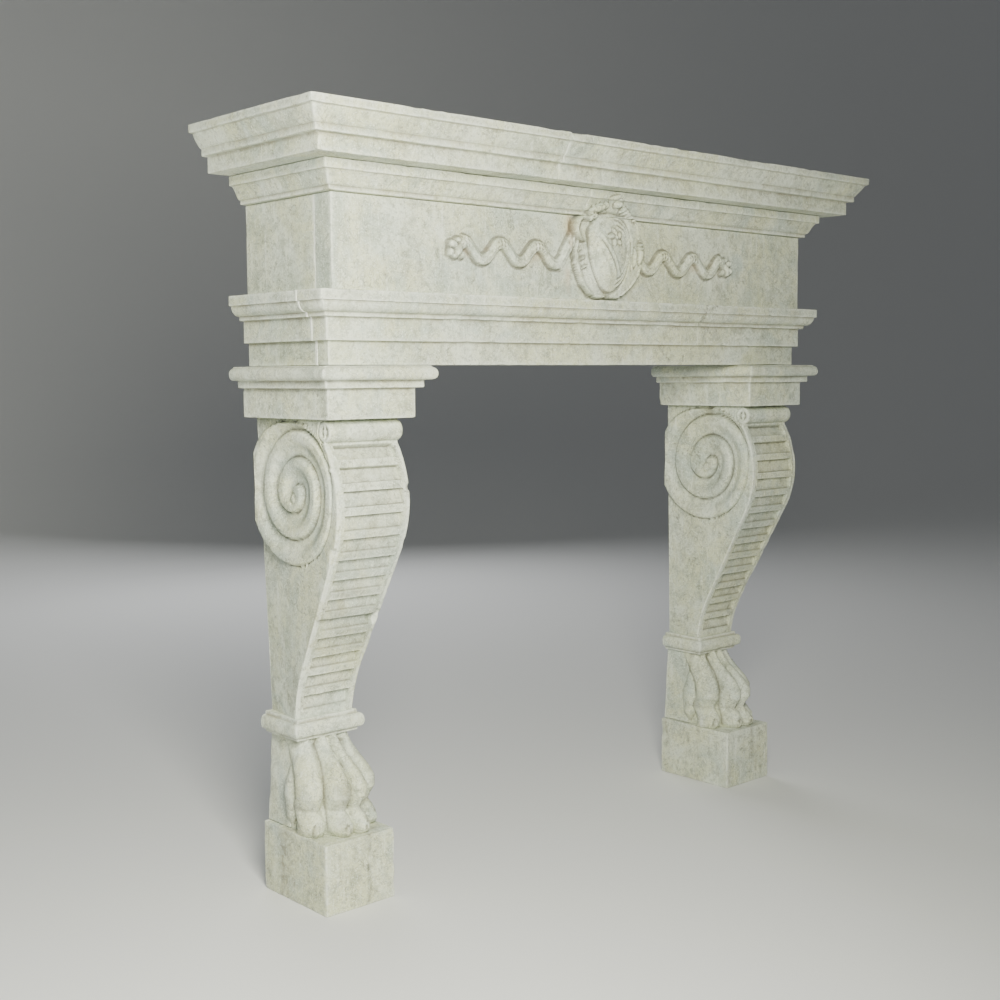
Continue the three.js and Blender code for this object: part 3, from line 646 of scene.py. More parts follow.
# Up the paw: levels above the hearth, how far the middle toes reach from the axis, half width of a toe,
# how wide the toes stand apart, and half width of the body behind them
PAW_LEVELS = (140, 150, 163, 176, 187, 198, 215, 235, 255, 275, 295, 312, 327)
TOE_REACH = (120, 128, 129, 118, 104, 109, 122, 123, 108, 84, 58, 42, 34)
TOE_HALF = (18, 21.5, 22, 20, 17, 19.5, 23, 23, 20.5, 17.5, 15.5, 14, 13.5)
TOE_SPREAD = (1.0, 1.02, 1.02, 1.0, 0.98, 1.0, 1.03, 1.03, 0.97, 0.88, 0.81, 0.78, 0.77)
BODY_HALF = (66, 67, 67, 65, 63, 64, 67, 66, 62, 59, 57, 55, 54)
PAD_LEVELS = (150, 166, 186, 206, 228, 252, 280, 310, 327)
PAD_SWELL = (0.3, 0.75, 0.97, 1.0, 0.86, 0.62, 0.45, 0.4, 0.4)


def collar_grid(side, seed):
    """Fillet, roll and fillet round the foot of the scroll."""
    low, top = COLLAR_LOW, COLLAR_TOP
    profile = curve(
        (-16, low), (-11, low + 1.5), (-10.5, low + 8), (-6, low + 8.5), ((0, low + 11), (0, low + 22)),
        ((0, low + 34), (-7, low + 37)), (-11.5, low + 37.5), (-11.5, top),
    )
    centre = side * leg_centre(top)
    plan = box_plan(centre - COLLAR_HALF, centre + COLLAR_HALF, 0, COLLAR_DEPTH, "west east front")
    points, marks = course_grid(plan, profile, 5, 3.0, radius=SOFT_ARRIS)
    return weathered(points, marks["arris"], seed, bite=2.6, wave=0.6), marks


def ray_to_ellipse(bearing, centre, radii, turn=0.0):
    """How far a level ray from the paw's axis runs before it leaves an ellipse that may change with height,
    or 0 where it misses: the far root of A R^2 - 2 B R + C = 0."""
    cos, sin = math.cos(turn), math.sin(turn)
    aim_across, aim_ahead = np.sin(bearing), np.cos(bearing)
    u = (aim_across * cos - aim_ahead * sin) / radii[0]
    v = (aim_across * sin + aim_ahead * cos) / radii[1]
    off_u = (centre[0] * cos - centre[1] * sin) / radii[0]
    off_v = (centre[0] * sin + centre[1] * cos) / radii[1]
    a, b, c = u**2 + v**2, u * off_u + v * off_v, off_u**2 + off_v**2 - 1
    inner = b**2 - a * c
    return np.where(inner > 0, (b + np.sqrt(np.maximum(inner, 0))) / a, 0)


def paw_grid(side, seed):
    """The lion paw: a surface R(bearing, height) round an upright axis, the rounded maximum of a body and,
    at each height, an ellipse for every toe, claw and side pad. The toes run up into the ankle's tendons."""
    heights = np.concatenate([[LEG_FOOT + 0.3], np.linspace(LEG_FOOT + 1.5, PAW_TOP, 100)])
    bearing = np.linspace(-math.pi, math.pi, 261)[:-1]
    height, bearing = np.meshgrid(heights, bearing, indexing="ij")
    reach = np.interp(height, PAW_LEVELS, TOE_REACH)
    toe_half = np.interp(height, PAW_LEVELS, TOE_HALF)
    spread = np.interp(height, PAW_LEVELS, TOE_SPREAD)
    half = np.interp(height, PAW_LEVELS, BODY_HALF)
    ahead = np.abs(np.cos(bearing)) / np.maximum(reach - 22, 24)
    aside = np.abs(np.sin(bearing)) / half
    lobes = [(ahead**BODY_POWER + aside**BODY_POWER) ** (-1 / BODY_POWER)]
    for toe in range(TOE_COUNT):
        place = toe - (TOE_COUNT - 1) / 2
        across = place * TOE_SPACING * spread
        outer = abs(place) > 1
        toe_reach = reach * (OUTER_TOE_SHARE if outer else 1.0)
        length = OUTER_TOE_LENGTH if outer else TOE_LENGTH
        turn = -TOE_TURN * place
        lobes.append(ray_to_ellipse(bearing, (across, toe_reach - length), (toe_half, length), turn))
        tip = (across + 4 * place, toe_reach - 5)
        claw = np.sqrt(np.clip(1 - ((height - CLAW_LEVEL) / CLAW_RISE) ** 2, 1e-4, 1))
        lobes.append(ray_to_ellipse(bearing, tip, (CLAW_RADII[0] * claw, CLAW_RADII[1] * claw), turn))
    swell = np.interp(height, PAD_LEVELS, PAD_SWELL)
    for hand in (-1, 1):
        pad = (PAD_RADII[0] * swell, PAD_RADII[1] * swell)
        lobes.append(ray_to_ellipse(bearing, (hand * (half - 1), -1 + 0 * half), pad))
    stacked = np.stack(lobes)
    radius = soft_peak(stacked, 0.8) - 0.6
    lead = stacked.max(axis=0) - np.sort(stacked, axis=0)[-2]
    # crease: painted shade where two lobes meet, between the toes
    crease = np.exp(-lead / 2.2) * (np.cos(bearing) > -0.35) * ease(142, 150, height)
    x = radius * np.sin(bearing)
    depth = np.maximum(PAW_MIDDLE + radius * np.cos(bearing), 20)
    points = weathered(np.stack([x, depth, height], axis=-1), 0 * height, seed, wave=1.0)
    points[..., 0] += side * leg_centre(LEG_FOOT)
    # A dark stain down the left paw; the fold under the knuckles adds fainter painted shade
    streak = hill(bearing + 0.16, 0.12) * ease(176, 205, height) * (1 - ease(235, 270, height))
    knuckle_fold = hill(height - 190, 5) * (np.cos(bearing) > 0.2)
    crease = np.maximum(crease, 0.2 * knuckle_fold)
    return points, {"hollow": crease, "soot": np.maximum(0.8 * crease, 0.45 * streak * (side < 0))}


def paw_block_grid(side, seed):
    """The plain block behind the paw, narrowing upwards."""
    foot, top = LEG_FOOT + 0.3, PAW_TOP
    profile = [(0, foot), (PAW_BLOCK_HALF[1] - PAW_BLOCK_HALF[0], top)]
    centre = side * leg_centre(LEG_FOOT)
    half = PAW_BLOCK_HALF[0]
    plan = box_plan(centre - half, centre + half, 0, PAW_BLOCK_DEPTH, "west east")
    points, marks = course_grid(plan, profile, [8, 6, 8, 6], 6.0, radius=SOFT_ARRIS)
    return weathered(points, marks["arris"], seed, bite=1.5, wave=1.0), marks


# Carving on the frieze: how far it stands out from the frieze face at (x, height)

CARVING_LEVEL = 1273.0
SHIELD_LEVELS = (1186, 1190, 1198, 1217, 1243, 1260, 1287, 1310, 1346, 1362, 1370)
SHIELD_LEFT = (18, 32, 51, 72, 85, 91, 94, 91, 85, 72, 55)
SHIELD_RIGHT = (24, 32, 48, 74, 97, 103, 104, 102, 94, 82, 66)
SHIELD_TOP = 1366.0
BOSS_MIDDLE = (2.0, 1286.0)
BOSS_HALF = (58.0, 82.0)
BOSS_RELIEF = 45.0
RIBBON_START = 88.0
RIBBON_CREST = 93.0
RIBBON_PITCH = 99.0
RIBBON_WAVES = 3.0
RIBBON_SWING = 17.0
RIBBON_HALF = 12.0
RIBBON_RELIEF = 14.5
RIBBON_RISE_START = 128.0
RIBBON_RISE = 1.45


def swelling(x, height, centre, radii, relief, turn_deg=0.0, power=0.5):
    """A rounded lump: relief x (1 - r^2)^power inside an ellipse, and below zero outside it."""
    cos, sin = math.cos(math.radians(turn_deg)), math.sin(math.radians(turn_deg))
    across, along = x - centre[0], height - centre[1]
    u = (across * cos + along * sin) / radii[0]
    v = (along * cos - across * sin) / radii[1]
    inside = 1 - u * u - v * v
    return np.where(inside > 0, relief * np.clip(inside, 0, 1) ** power, -4.0)


def curl(x, height, centre, radius, width, relief, start_deg, sweep_deg):
    """A raised roll along an arc, tapering towards its far end."""
    across, along = x - centre[0], height - centre[1]
    bearing = (np.degrees(np.arctan2(along, across)) - start_deg) * np.sign(sweep_deg) % 360
    share = bearing / abs(sweep_deg)
    span = width * (1 - 0.45 * np.clip(share, 0, 1))
    ring = (np.hypot(across, along) - radius * (1 - 0.12 * share)) / span
    inside = (share < 1) & (np.abs(ring) < 1)
    return np.where(inside, relief * np.sqrt(np.clip(1 - ring**2, 0, 1)) ** 0.5, -4.0)


def ribbon_relief(x, height):
    """Wavy band: z = level + swing cos(2 pi (|x| - crest) / pitch), its thickness measured square to the
    wave. The section is (1 - |a|^2.6)^0.5, higher at its lower edge, with lengthwise flutes and short folds
    at the crests. On the left the last stretch climbs straight up beside the shield."""
    reach = np.abs(x)
    phase = (reach - RIBBON_CREST) / RIBBON_PITCH * 2 * math.pi
    middle = CARVING_LEVEL + RIBBON_SWING * np.cos(phase)
    slope = RIBBON_SWING * 2 * math.pi / RIBBON_PITCH * np.sin(phase)
    climbs = (x < 0) & (reach < RIBBON_RISE_START)
    rise_level = CARVING_LEVEL - 10.5 + (RIBBON_RISE_START - reach) * RIBBON_RISE
    middle = np.where(climbs, rise_level, middle)
    slope = np.where(climbs, RIBBON_RISE, slope)
    across = (height - middle) / np.sqrt(1 + slope**2) / RIBBON_HALF
    section = np.sqrt(np.clip(1 - np.abs(across) ** 2.6, 0, 1)) * (1 - 0.3 * (across + 1) / 2)
    flutes = 1.1 * np.cos(across * 2.6 * math.pi)
    folds = 1.3 * np.cos(reach * 2 * math.pi / 8.5) * ease(0.35, 0.95, np.cos(phase))
    end = RIBBON_CREST + RIBBON_PITCH * RIBBON_WAVES
    start = np.where(x < 0, RIBBON_START - 14, RIBBON_START)
    held = ease(0, 6, reach - start) * (1 - ease(end - 4, end + 8, reach))
    band = (RIBBON_RELIEF * section + (flutes + folds) * section) * held
    return np.where(np.abs(across) < 1, band, 0)


def knot_relief(x, height):
    """The loops and tail that tie off each ribbon."""
    reach = np.abs(x) - (RIBBON_CREST + RIBBON_PITCH * RIBBON_WAVES)
    lift = height - CARVING_LEVEL
    lumps = [
        swelling(reach, lift, (2, 11), (11, 13), 15, -30),
        swelling(reach, lift, (14, -3), (9, 16), 18, 28),
        swelling(reach, lift, (25, 9), (12, 8), 15, 20),
        swelling(reach, lift, (31, -7), (8, 9), 14, -10),
        swelling(reach, lift, (13, 17), (9, 7), 14, 15),
        swelling(reach, lift, (4, -11), (8, 9), 14),
        swelling(reach, lift, (22, -14), (9, 6), 13, 20),
    ]
    dimples = 3.0 * hill(np.hypot(reach - 24, lift - 8), 3.5)
    dimples += 3.0 * hill(np.hypot(reach - 4, lift - 10), 3.5)
    return np.maximum(soft_peak(np.stack(lumps), 1.1) - 1.0 - dimples, 0)


def shield_edge(x, height):
    """How far a point lies inside the shield's outline, measured level with it and from its foot."""
    outline = np.where(
        x < 0,
        np.interp(height, SHIELD_LEVELS, SHIELD_LEFT),
        np.interp(height, SHIELD_LEVELS, SHIELD_RIGHT),
    )
    notch = 7 * hill(x + 3, 5)
    foot = height - 1187.5 - notch
    return np.minimum.reduce([(outline - np.abs(x)) * 0.8, foot, SHIELD_TOP - height])


def boss_reach(x, height):
    """0 in the middle of the egg-shaped boss, 1 on its outline: r^2 = u^2 (1 - 0.4 v) + v^2."""
    u = (x - BOSS_MIDDLE[0]) / BOSS_HALF[0]
    v = (height - BOSS_MIDDLE[1]) / BOSS_HALF[1]
    return np.sqrt(np.maximum(u**2 * (1 - 0.4 * v) + v**2, 0))


def boss_relief(x, height):
    """An egg with three slanting folds, a rosette, and three raised lines down its right side."""
    egg = boss_reach(x, height)
    right = ease(4, 26, x)
    roundness = 1.05 - 0.35 * right
    base = 21 + (BOSS_RELIEF - 21) * np.clip(1 - egg**2, 0, 1) ** roundness
    for place in (0.64, 0.77, 0.90):
        base = base + 2.6 * hill(egg - place, 0.03) * right
        base = base - 3.0 * hill(egg - place - 0.06, 0.025) * right
    for shift, lift in ((0, 6.0), (14, 3.6), (-13, 2.6)):
        fold = x - (-28 + shift - 0.6 * (height - 1291))
        shape = np.where(fold < 0, np.exp(fold / 8), np.exp(-fold / 2.2))
        base = base + lift * shape * (1 - ease(0.62, 0.92, egg)) * ease(1222, 1246, height)
    petals = [swelling(x, height, (0, 1316), (6, 6), 6, power=0.9)]
    for petal in range(5):
        angle = 2 * math.pi * petal / 5 + 0.4
        centre = (12 * math.cos(angle), 1316 + 12 * math.sin(angle))
        petals.append(swelling(x, height, centre, (9.5, 6), 5.5, math.degrees(angle) + 25, 0.9))
    base = base + np.maximum(np.stack(petals).max(axis=0), 0)
    return np.where(egg < 1, base, 0)


def cartouche_relief(x, height):
    """Shield, boss and scrolls: the shield swells from a low edge on the left and a prouder one on the
    right up to the boss. A C-shaped curl and three short leaves stand at its left, a ribbed strap and a
    plain band beside it at its right."""
    inside = shield_edge(x, height)
    edge = 13 + 9 * ease(-60, 90, x)
    plate = edge * ease(0, 3.5, inside) + (25 - edge) * ease(3, 44, inside)
    rolled = 2.5 * hill(inside - 5, 3.0)
    shield = np.where(inside > 0, plate + rolled, 0)
    egg = boss_reach(x, height)
    gutter = 4.0 * hill(egg - 1.04, 0.045) * (egg > 1)
    body = np.maximum(shield - gutter * (shield > 0), boss_relief(x, height))
    ribs = 1 + 0.07 * np.cos((height - 1307) * 2 * math.pi / 8) * ease(1290, 1297, height)
    strap = swelling(x, height, (96, 1292), (12, 36), 31, -3, 0.3)
    extras = [
        curl(x, height, (-70, 1330), 26, 5, 27, 50, 215),
        swelling(x, height, (-74, 1272), (3.6, 13), 24, -52),
        swelling(x, height, (-69, 1254), (3.4, 13), 24, -58),
        swelling(x, height, (-82, 1290), (3.4, 11), 22, -40),
        np.where(strap > 0, strap * ribs, strap),
        swelling(x, height, (78, 1279), (9, 28), 29, -3, 0.25),
    ]
    lively = np.stack([body] + extras)
    groove = 4 * hill(x - 67, 2.2) * ease(1248, 1254, height) * (1 - ease(1308, 1316, height))
    groove = groove + 5 * np.exp(-((np.hypot((x + 66) / 15, (height - 1330) / 17)) ** 4))
    around = soft_peak(lively[1:], 1.0)
    moat = 3.0 * hill(around - body, 3.0) * (around > 0)
    shape = soft_peak(lively, 2.0) - 0.2 - groove - moat
    return np.maximum(shape, 0) * (body + lively[1:].max(axis=0) > 0)


def crest_relief(x, height):
    """Over the shield: four upright lobes that end in a round scroll on the left, a knob in the middle, and
    a curl of five lobes that falls to the right."""
    parts = [0 * x, swelling(x, height, (23, 1386.5), (12.5, 9.5), 38, power=0.35)]
    parts.append(swelling(x, height, (-29, 1376), (28, 10), 29.5, 18, 0.3))
    parts.append(swelling(x, height, (56, 1369), (24, 9), 28.5, -31, 0.3))
    for lobe in range(4):
        centre = (-13 - 10.6 * lobe, 1382.5 - 3.6 * lobe)
        parts.append(swelling(x, height, centre, (5.3, 11.5), 34 - 1.2 * lobe, 10, 0.5))
    for lobe in range(5):
        centre = (39.5 + 8.7 * lobe, 1378 - 5 * lobe)
        parts.append(swelling(x, height, centre, (5.0, 11 - 0.7 * lobe), 35 - 1.6 * lobe, -31, 0.5))
    around = np.hypot(x + 51, height - 1360)
    scroll = 29 + 2.2 * np.cos(around * 2 * math.pi / 7.5)
    parts.append(np.where(around < 11, scroll * np.clip((11 - around) / 3, 0, 1) ** 0.4, 0))
    tip = swelling(x, height, (4, 1398.5), (17, 3.6), 35, 14, 0.4)
    return np.maximum.reduce([*parts, tip])


def carving(x, height):
    """All that stands out from the frieze face."""
    parts = [cartouche_relief(x, height), ribbon_relief(x, height), knot_relief(x, height)]
    return np.maximum.reduce([*parts, crest_relief(x, height)])


def carving_marks(points, relief):
    """Painted shade along the foot of every step in the carving and in its valleys, and brown staining beside
    the shield, under the ribbon's waves and along the strap."""
    slope = np.hypot(*np.gradient(relief))
    x, level = points[..., 0], points[..., 2] - CARVING_LEVEL
    reach = np.abs(x)
    step = ease(1.5, 6, slope) * (1 - ease(3, 10, relief))
    valley = ease(0.2, 1.0, soft_blur(relief, 2) - relief)
    patchy = ease(-0.35, 0.45, lattice_noise(points, 30, 5))
    shield_wall = hill(x + 97, 10) * ease(-85, -60, level)
    strap_line = hill(x - 68, 4) * ease(-25, -18, level) * (1 - ease(34, 44, level))
    under_waves = hill(level + 2, 15) * (reach > 120) * (reach < 400) * (relief < 8)
    pod_foot = hill(np.hypot((x + 20) / 14, (level + 58) / 16), 1)
    stain = np.maximum.reduce([0.9 * shield_wall, strap_line, 0.55 * under_waves, 0.5 * pod_foot]) * patchy
    return np.maximum(step, 0.9 * valley), np.maximum(0.85 * step, 0.55 * valley), stain


def soft_blur(values, reach):
    """The mean over a square of cells that reaches the given number of cells each way."""
    total = np.zeros(values.shape)
    shifts = range(-reach, reach + 1)
    for down in shifts:
        row = np.roll(values, down, axis=0)
        for along in shifts:
            total += np.roll(row, along, axis=1)
    return total / len(shifts) ** 2


# Materials

CREAM = (0.64, 0.66, 0.45)
PALE = (0.71, 0.75, 0.63)
STRAW = (0.65, 0.645, 0.42)
GREEN_GREY = (0.44, 0.51, 0.46)
SHADE = (0.34, 0.37, 0.28)
DARK_GRAIN = (0.17, 0.18, 0.145)
CHALK = (0.86, 0.89, 0.80)
# Brown for grimy runs, and for painted shade in hollows
SOIL_AND_SHADE = (0.27, 0.25, 0.18)
RUST = (0.48, 0.31, 0.17)
# Near black for blots, pits and dark stains, and for painted shade in sharp lines and creases
SOOT_AND_SHADE = (0.075, 0.072, 0.055)
LIME = (0.80, 0.80, 0.76)


def feed(tree, socket, value):
    """Links another node's output to an input, or sets the input to a number, a vector or a colour."""
    if isinstance(value, bpy.types.NodeSocket):
        tree.links.new(value, socket)
    else:
        socket.default_value = (*value, 1.0) if socket.type == "RGBA" else value


def add_node(tree, kind, given, **settings):
    """A shader node with its settings; given holds, for each input, a value or another node's output."""
    node = tree.nodes.new(f"ShaderNode{kind}")
    for name, value in settings.items():
        setattr(node, name, value)
    for name, value in given.items():
        feed(tree, node.inputs[name], value)
    return node


def math_node(tree, operation, first, second):
    """A Math node on two operands."""
    return add_node(tree, "Math", {0: first, 1: second}, operation=operation).outputs[0]


def product(tree, first, second):
    """One value times another."""
    return math_node(tree, "MULTIPLY", first, second)


def band(tree, value, low, high):
    """0 below low and 1 above high, smooth between."""
    given = {"Value": value, "From Min": low, "From Max": high}
    return add_node(tree, "MapRange", given, interpolation_type="SMOOTHSTEP").outputs["Result"]


def noise(tree, place, scale, detail, rough, distortion=0.0):
    """A noise texture's value on the given coordinates."""
    given = {"Vector": place, "Scale": scale, "Detail": detail, "Roughness": rough, "Distortion": distortion}
    return add_node(tree, "TexNoise", given).outputs["Fac"]


def stretched(tree, place, scale):
    """Coordinates scaled along each axis."""
    return add_node(tree, "Mapping", {"Vector": place, "Scale": scale}).outputs["Vector"]


def tint(tree, mask, base, colour, most=1.0):
    """Mixes a colour over a base where the mask says."""
    given = {"Factor": product(tree, mask, most), "A": base, "B": colour}
    return add_node(tree, "Mix", given, data_type="RGBA").outputs["Result"]


def limestone_group():
    """Limestone: cream to grey-green patches, darker clouds, fine grain, pale brushed streaks and specks,
    wormy veins, blots and pits, then painted shade in hollows, grimy runs, brown iron stain, paler worn
    arrises, and dark stains with painted shade in sharp lines. Gives a colour, a roughness and a height."""
    tree = bpy.data.node_groups.new("limestone_surface", "ShaderNodeTree")
    floats = ("Arris", "Hollow", "Stain", "Soot", "Grime", "Warmth")
    sockets = [("Place", "Vector", "INPUT"), *((name, "Float", "INPUT") for name in floats)]
    sockets += [("Colour", "Color", "OUTPUT")]
    sockets += [(name, "Float", "OUTPUT") for name in ("Roughness", "Height")]
    for name, kind, way in sockets:
        tree.interface.new_socket(name=name, in_out=way, socket_type=f"NodeSocket{kind}")
    given, out = tree.nodes.new("NodeGroupInput").outputs, tree.nodes.new("NodeGroupOutput").inputs
    place = given["Place"]

    patches = noise(tree, place, 4.5, 7, 0.66, 0.5)
    blotches = noise(tree, place, 15, 6, 0.66, 0.6)
    cool = noise(tree, place, 6.0, 6, 0.66, 0.9)
    mottle = noise(tree, place, 52, 5, 0.68, 0.5)
    grain = noise(tree, place, 150, 4, 0.7, 0.3)
    clouds = noise(tree, place, 9, 8, 0.72, 0.8)
    brushed = noise(tree, stretched(tree, place, (70, 70, 8)), 1.0, 5, 0.7)
    speckle = noise(tree, place, 330, 3, 0.6)
    colour = tint(tree, band(tree, patches, 0.4, 0.6), CREAM, PALE)
    warm = product(tree, band(tree, blotches, 0.44, 0.6), given["Warmth"])
    colour = tint(tree, warm, colour, STRAW, 0.6)
    for value, low, high, over, most in (
        (cool, 0.46, 0.66, GREEN_GREY, 0.75),
        (mottle, 0.47, 0.68, SHADE, 0.62),
        (grain, 0.51, 0.68, DARK_GRAIN, 0.45),
        (clouds, 0.5, 0.68, SHADE, 0.55),
        (brushed, 0.55, 0.68, CHALK, 0.45),
        (speckle, 0.53, 0.64, CHALK, 0.6),
    ):
        colour = tint(tree, band(tree, value, low, high), colour, over, most)

    worm = math_node(tree, "SUBTRACT", noise(tree, place, 34, 3, 0.55, 1.6), 0.5)
    worm = math_node(tree, "ABSOLUTE", worm, 0.0)
    vein = math_node(tree, "SUBTRACT", 1.0, band(tree, worm, 0.004, 0.026))
    vein = product(tree, vein, band(tree, blotches, 0.38, 0.58))
    blot = band(tree, noise(tree, place, 11, 9, 0.78, 0.7), 0.57, 0.68)
    blot = product(tree, blot, band(tree, grain, 0.38, 0.6))
    cells = add_node(tree, "TexVoronoi", {"Vector": place, "Scale": 120, "Randomness": 1.0})
    pit = math_node(tree, "SUBTRACT", 1.0, band(tree, cells.outputs["Distance"], 0.10, 0.26))
    pit = product(tree, pit, band(tree, noise(tree, place, 12, 6, 0.7), 0.52, 0.64))
    # Painted shade in hollows, in a brown tone
    hollow_shade = product(tree, given["Hollow"], band(tree, blotches, 0.25, 0.6))
    runs = band(tree, noise(tree, stretched(tree, place, (17, 17, 1.8)), 1.0, 6, 0.68), 0.5, 0.66)
    runs = product(tree, product(tree, runs, given["Grime"]), band(tree, mottle, 0.34, 0.6))
    worn = product(tree, given["Arris"], band(tree, mottle, 0.36, 0.6))
    # Dark stains, and painted shade in sharp lines, grooves and creases
    stains_and_shade = product(tree, given["Soot"], band(tree, mottle, 0.15, 0.5))
    for mask, over, most in (
        (vein, DARK_GRAIN, 0.5), (blot, SOOT_AND_SHADE, 0.6), (pit, SOOT_AND_SHADE, 0.5), (hollow_shade, SOIL_AND_SHADE, 0.65),
        (runs, SOIL_AND_SHADE, 0.75), (given["Stain"], RUST, 0.6), (worn, CHALK, 0.65), (stains_and_shade, SOOT_AND_SHADE, 0.9),
    ):
        colour = tint(tree, mask, colour, over, most)

    rough = add_node(tree, "MapRange", {"Value": mottle, "To Min": 0.76, "To Max": 0.95}).outputs["Result"]
    height = product(tree, grain, 0.5)
    for part, share in ((mottle, 0.9), (blotches, 1.2), (speckle, 0.15), (pit, -0.7), (vein, -0.35)):
        height = math_node(tree, "ADD", height, product(tree, part, share))
    for name, value in (("Colour", colour), ("Roughness", rough), ("Height", height)):
        feed(tree, out[name], value)
    return tree


def new_material(name):
    """A material with its shader tree and the surface shader in it."""
    material = bpy.data.materials.new(name)
    material.use_nodes = True
    return material, material.node_tree, material.node_tree.nodes["Principled BSDF"]


def dress(tree, shader, looks, height, strength, distance):
    """Gives a surface shader its looks, input by input, and a bump from a height."""
    bump = add_node(tree, "Bump", {"Height": height, "Strength": strength, "Distance": distance})
    for name, value in {**looks, "Normal": bump.outputs["Normal"]}.items():
        feed(tree, shader.inputs[name], value)


def limestone(name, surface, shift, grime, warmth):
    """One block's stone: the shared surface on object coordinates, shifted so that no two blocks match."""
    material, tree, shader = new_material(name)
    where = add_node(tree, "TexCoord", {}).outputs["Object"]
    offset = (shift * 1.7, shift * 2.3, shift * 3.1)
    moved = add_node(tree, "Mapping", {"Vector": where, "Location": offset})
    given = {"Place": moved.outputs["Vector"], "Grime": grime, "Warmth": warmth}
    for word in MARKS:
        given[word.capitalize()] = add_node(tree, "Attribute", {}, attribute_name=word).outputs["Fac"]
    stone = add_node(tree, "Group", given, node_tree=surface).outputs
    looks = {"Base Color": stone["Colour"], "Roughness": stone["Roughness"], "Specular IOR Level": 0.28}
    dress(tree, shader, looks, stone["Height"], 0.55, 0.0016)
    return material


def lime_mortar():
    """Chalky mortar: pale with darker grains and a gritty bump."""
    material, tree, shader = new_material("lime_mortar")
    place = add_node(tree, "TexCoord", {}).outputs["Object"]
    grit, cloud = noise(tree, place, 260, 4, 0.65), noise(tree, place, 30, 4, 0.6)
    colour = tint(tree, band(tree, cloud, 0.4, 0.65), LIME, PALE, 0.8)
    colour = tint(tree, band(tree, grit, 0.52, 0.7), colour, SHADE, 0.5)
    looks = {"Base Color": colour, "Roughness": 0.92, "Specular IOR Level": 0.2}
    dress(tree, shader, looks, grit, 0.5, 0.001)
    return material


def build_stones():
    """A stone for every block, alike but not the same."""
    surface = limestone_group()
    stone = {}
    for order, node in enumerate(sorted(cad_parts)):
        grime = 1.0 if node.startswith("plinth") else 0.35
        warmth = 0.85 if node in ("frieze_front", "bed_mould_right") else 0.55
        stone[node] = limestone(f"limestone_{node}", surface, 0.37 * (order + 1), grime, warmth)
    return stone


# Building

def build_block(node, plan, profile, steps, row_step, stone, seed, bite=2.2, shape=None):
    """A course block: grid, optional carving, wear, mesh and stone."""
    points, marks = course_grid(plan, profile, steps, row_step)
    if shape is not None:
        points, marks = shape(points, marks)
    points = weathered(points, marks["arris"], seed, bite=bite)
    finished(grid_object(f"{node}_stone", points, marks), stone[node], node)


def plinth_streak(low, high, side):
    """Dark broken runs down a plinth's front, darkest right of its middle; fainter on the right one."""
    def marked(points, marks):
        bend = 3 * lattice_noise(points, 38, 8)
        broken = ease(-0.35, 0.4, lattice_noise(points, 13, 9))
        total = 0 * bend
        for share, half, strength in ((0.62, 3.6, 0.85), (0.70, 2.5, 0.4), (0.40, 5.0, 0.35)):
            line = low[0] + share * (high[0] - low[0]) + bend
            total = total + strength * hill(points[..., 0] - line, half)
        in_front = points[..., 1] > high[1] - 6
        marks["soot"] = np.clip(total, 0, 1) * broken * in_front * (0.9 if side < 0 else 0.3)
        return points, marks
    return marked


def build_courses(stone):
    """Plinths, capitals, architrave, frieze, bed mould and shelf."""
    for word, side in SIDES.items():
        low, high = node_box(f"plinth_{word}")
        plan = box_plan(low[0], high[0], 0, high[1], "")
        streak = plinth_streak(low, high, side)
        build_block(f"plinth_{word}", plan, plain_profile(0, high[2]), 5, 5, stone, 11 + side, 3.0, streak)
        low, high = node_box(f"capital_{word}")
        x0, x1 = low[0] + CAPITAL_REACH, high[0] - CAPITAL_REACH
        plan = box_plan(x0, x1, 0, high[1] - CAPITAL_REACH, "west east front")
        build_block(f"capital_{word}", plan, capital_profile(), 10, 6, stone, 21 + side, 2.6)
        x0, x1 = sorted((side * RETURN_INNER, side * FACE_HALF))
        plan = box_plan(x0, x1, 0, SLAB_BACK - JOINT_GAP, OUTER[word])
        build_block(f"architrave_return_{word}", plan, beam_profile(), 9, 6, stone, 31 + side)
        plan = box_plan(x0, x1, 0, SLAB_BACK - JOINT_GAP, "")
        build_block(f"frieze_return_{word}", plan, plain_profile(*FRIEZE_SPAN), 9, 9, stone, 41 + side)

    plan = box_plan(-FACE_HALF, FACE_HALF, SLAB_BACK, BEAM_FACE, "west east front")
    build_block("architrave_front", plan, beam_profile(), [12, 8, 12, 8], 7, stone, 51)
    build_frieze(stone)
    build_bed_mould(stone)
    plan = box_plan(-FACE_HALF, SHELF_JOINT, 0, FRIEZE_FACE, "west front")
    build_block("cornice_left", plan, shelf_profile(), 12, 7, stone, 61, 3.0)
    plan = box_plan(SHELF_LOW[0], FACE_HALF, 0, FRIEZE_FACE, "east front")
    build_block("cornice_right", plan, shelf_profile(), 12, 7, stone, 71, 3.0)


def build_mortar(mortar):
    """Lime mortar in the upright joints between the front slabs and the side returns."""
    plain = plain_profile(*FRIEZE_SPAN)
    courses = (("architrave", beam_profile(), 3.2, 1.0), ("frieze", plain, 1.6, 0.2))
    for course, profile, half_width, proud in courses:
        for word, side in SIDES.items():
            x0, x1 = sorted((side * (FACE_HALF - MORTAR_DEPTH), side * (FACE_HALF + proud)))
            outer = OUTER[word] if course == "architrave" else ""
            plan = box_plan(x0, x1, SLAB_BACK - half_width, SLAB_BACK + half_width, outer)
            points, marks = course_grid(plan, profile, 2, 4, radius=0.8, inset=1.5)
            points = weathered(points, marks["arris"], 171 + side, bite=0.6, wave=0.8)
            thing = grid_object(f"{course}_mortar_{word}", points, marks)
            finished(thing, mortar, f"{course}_return_{word}")


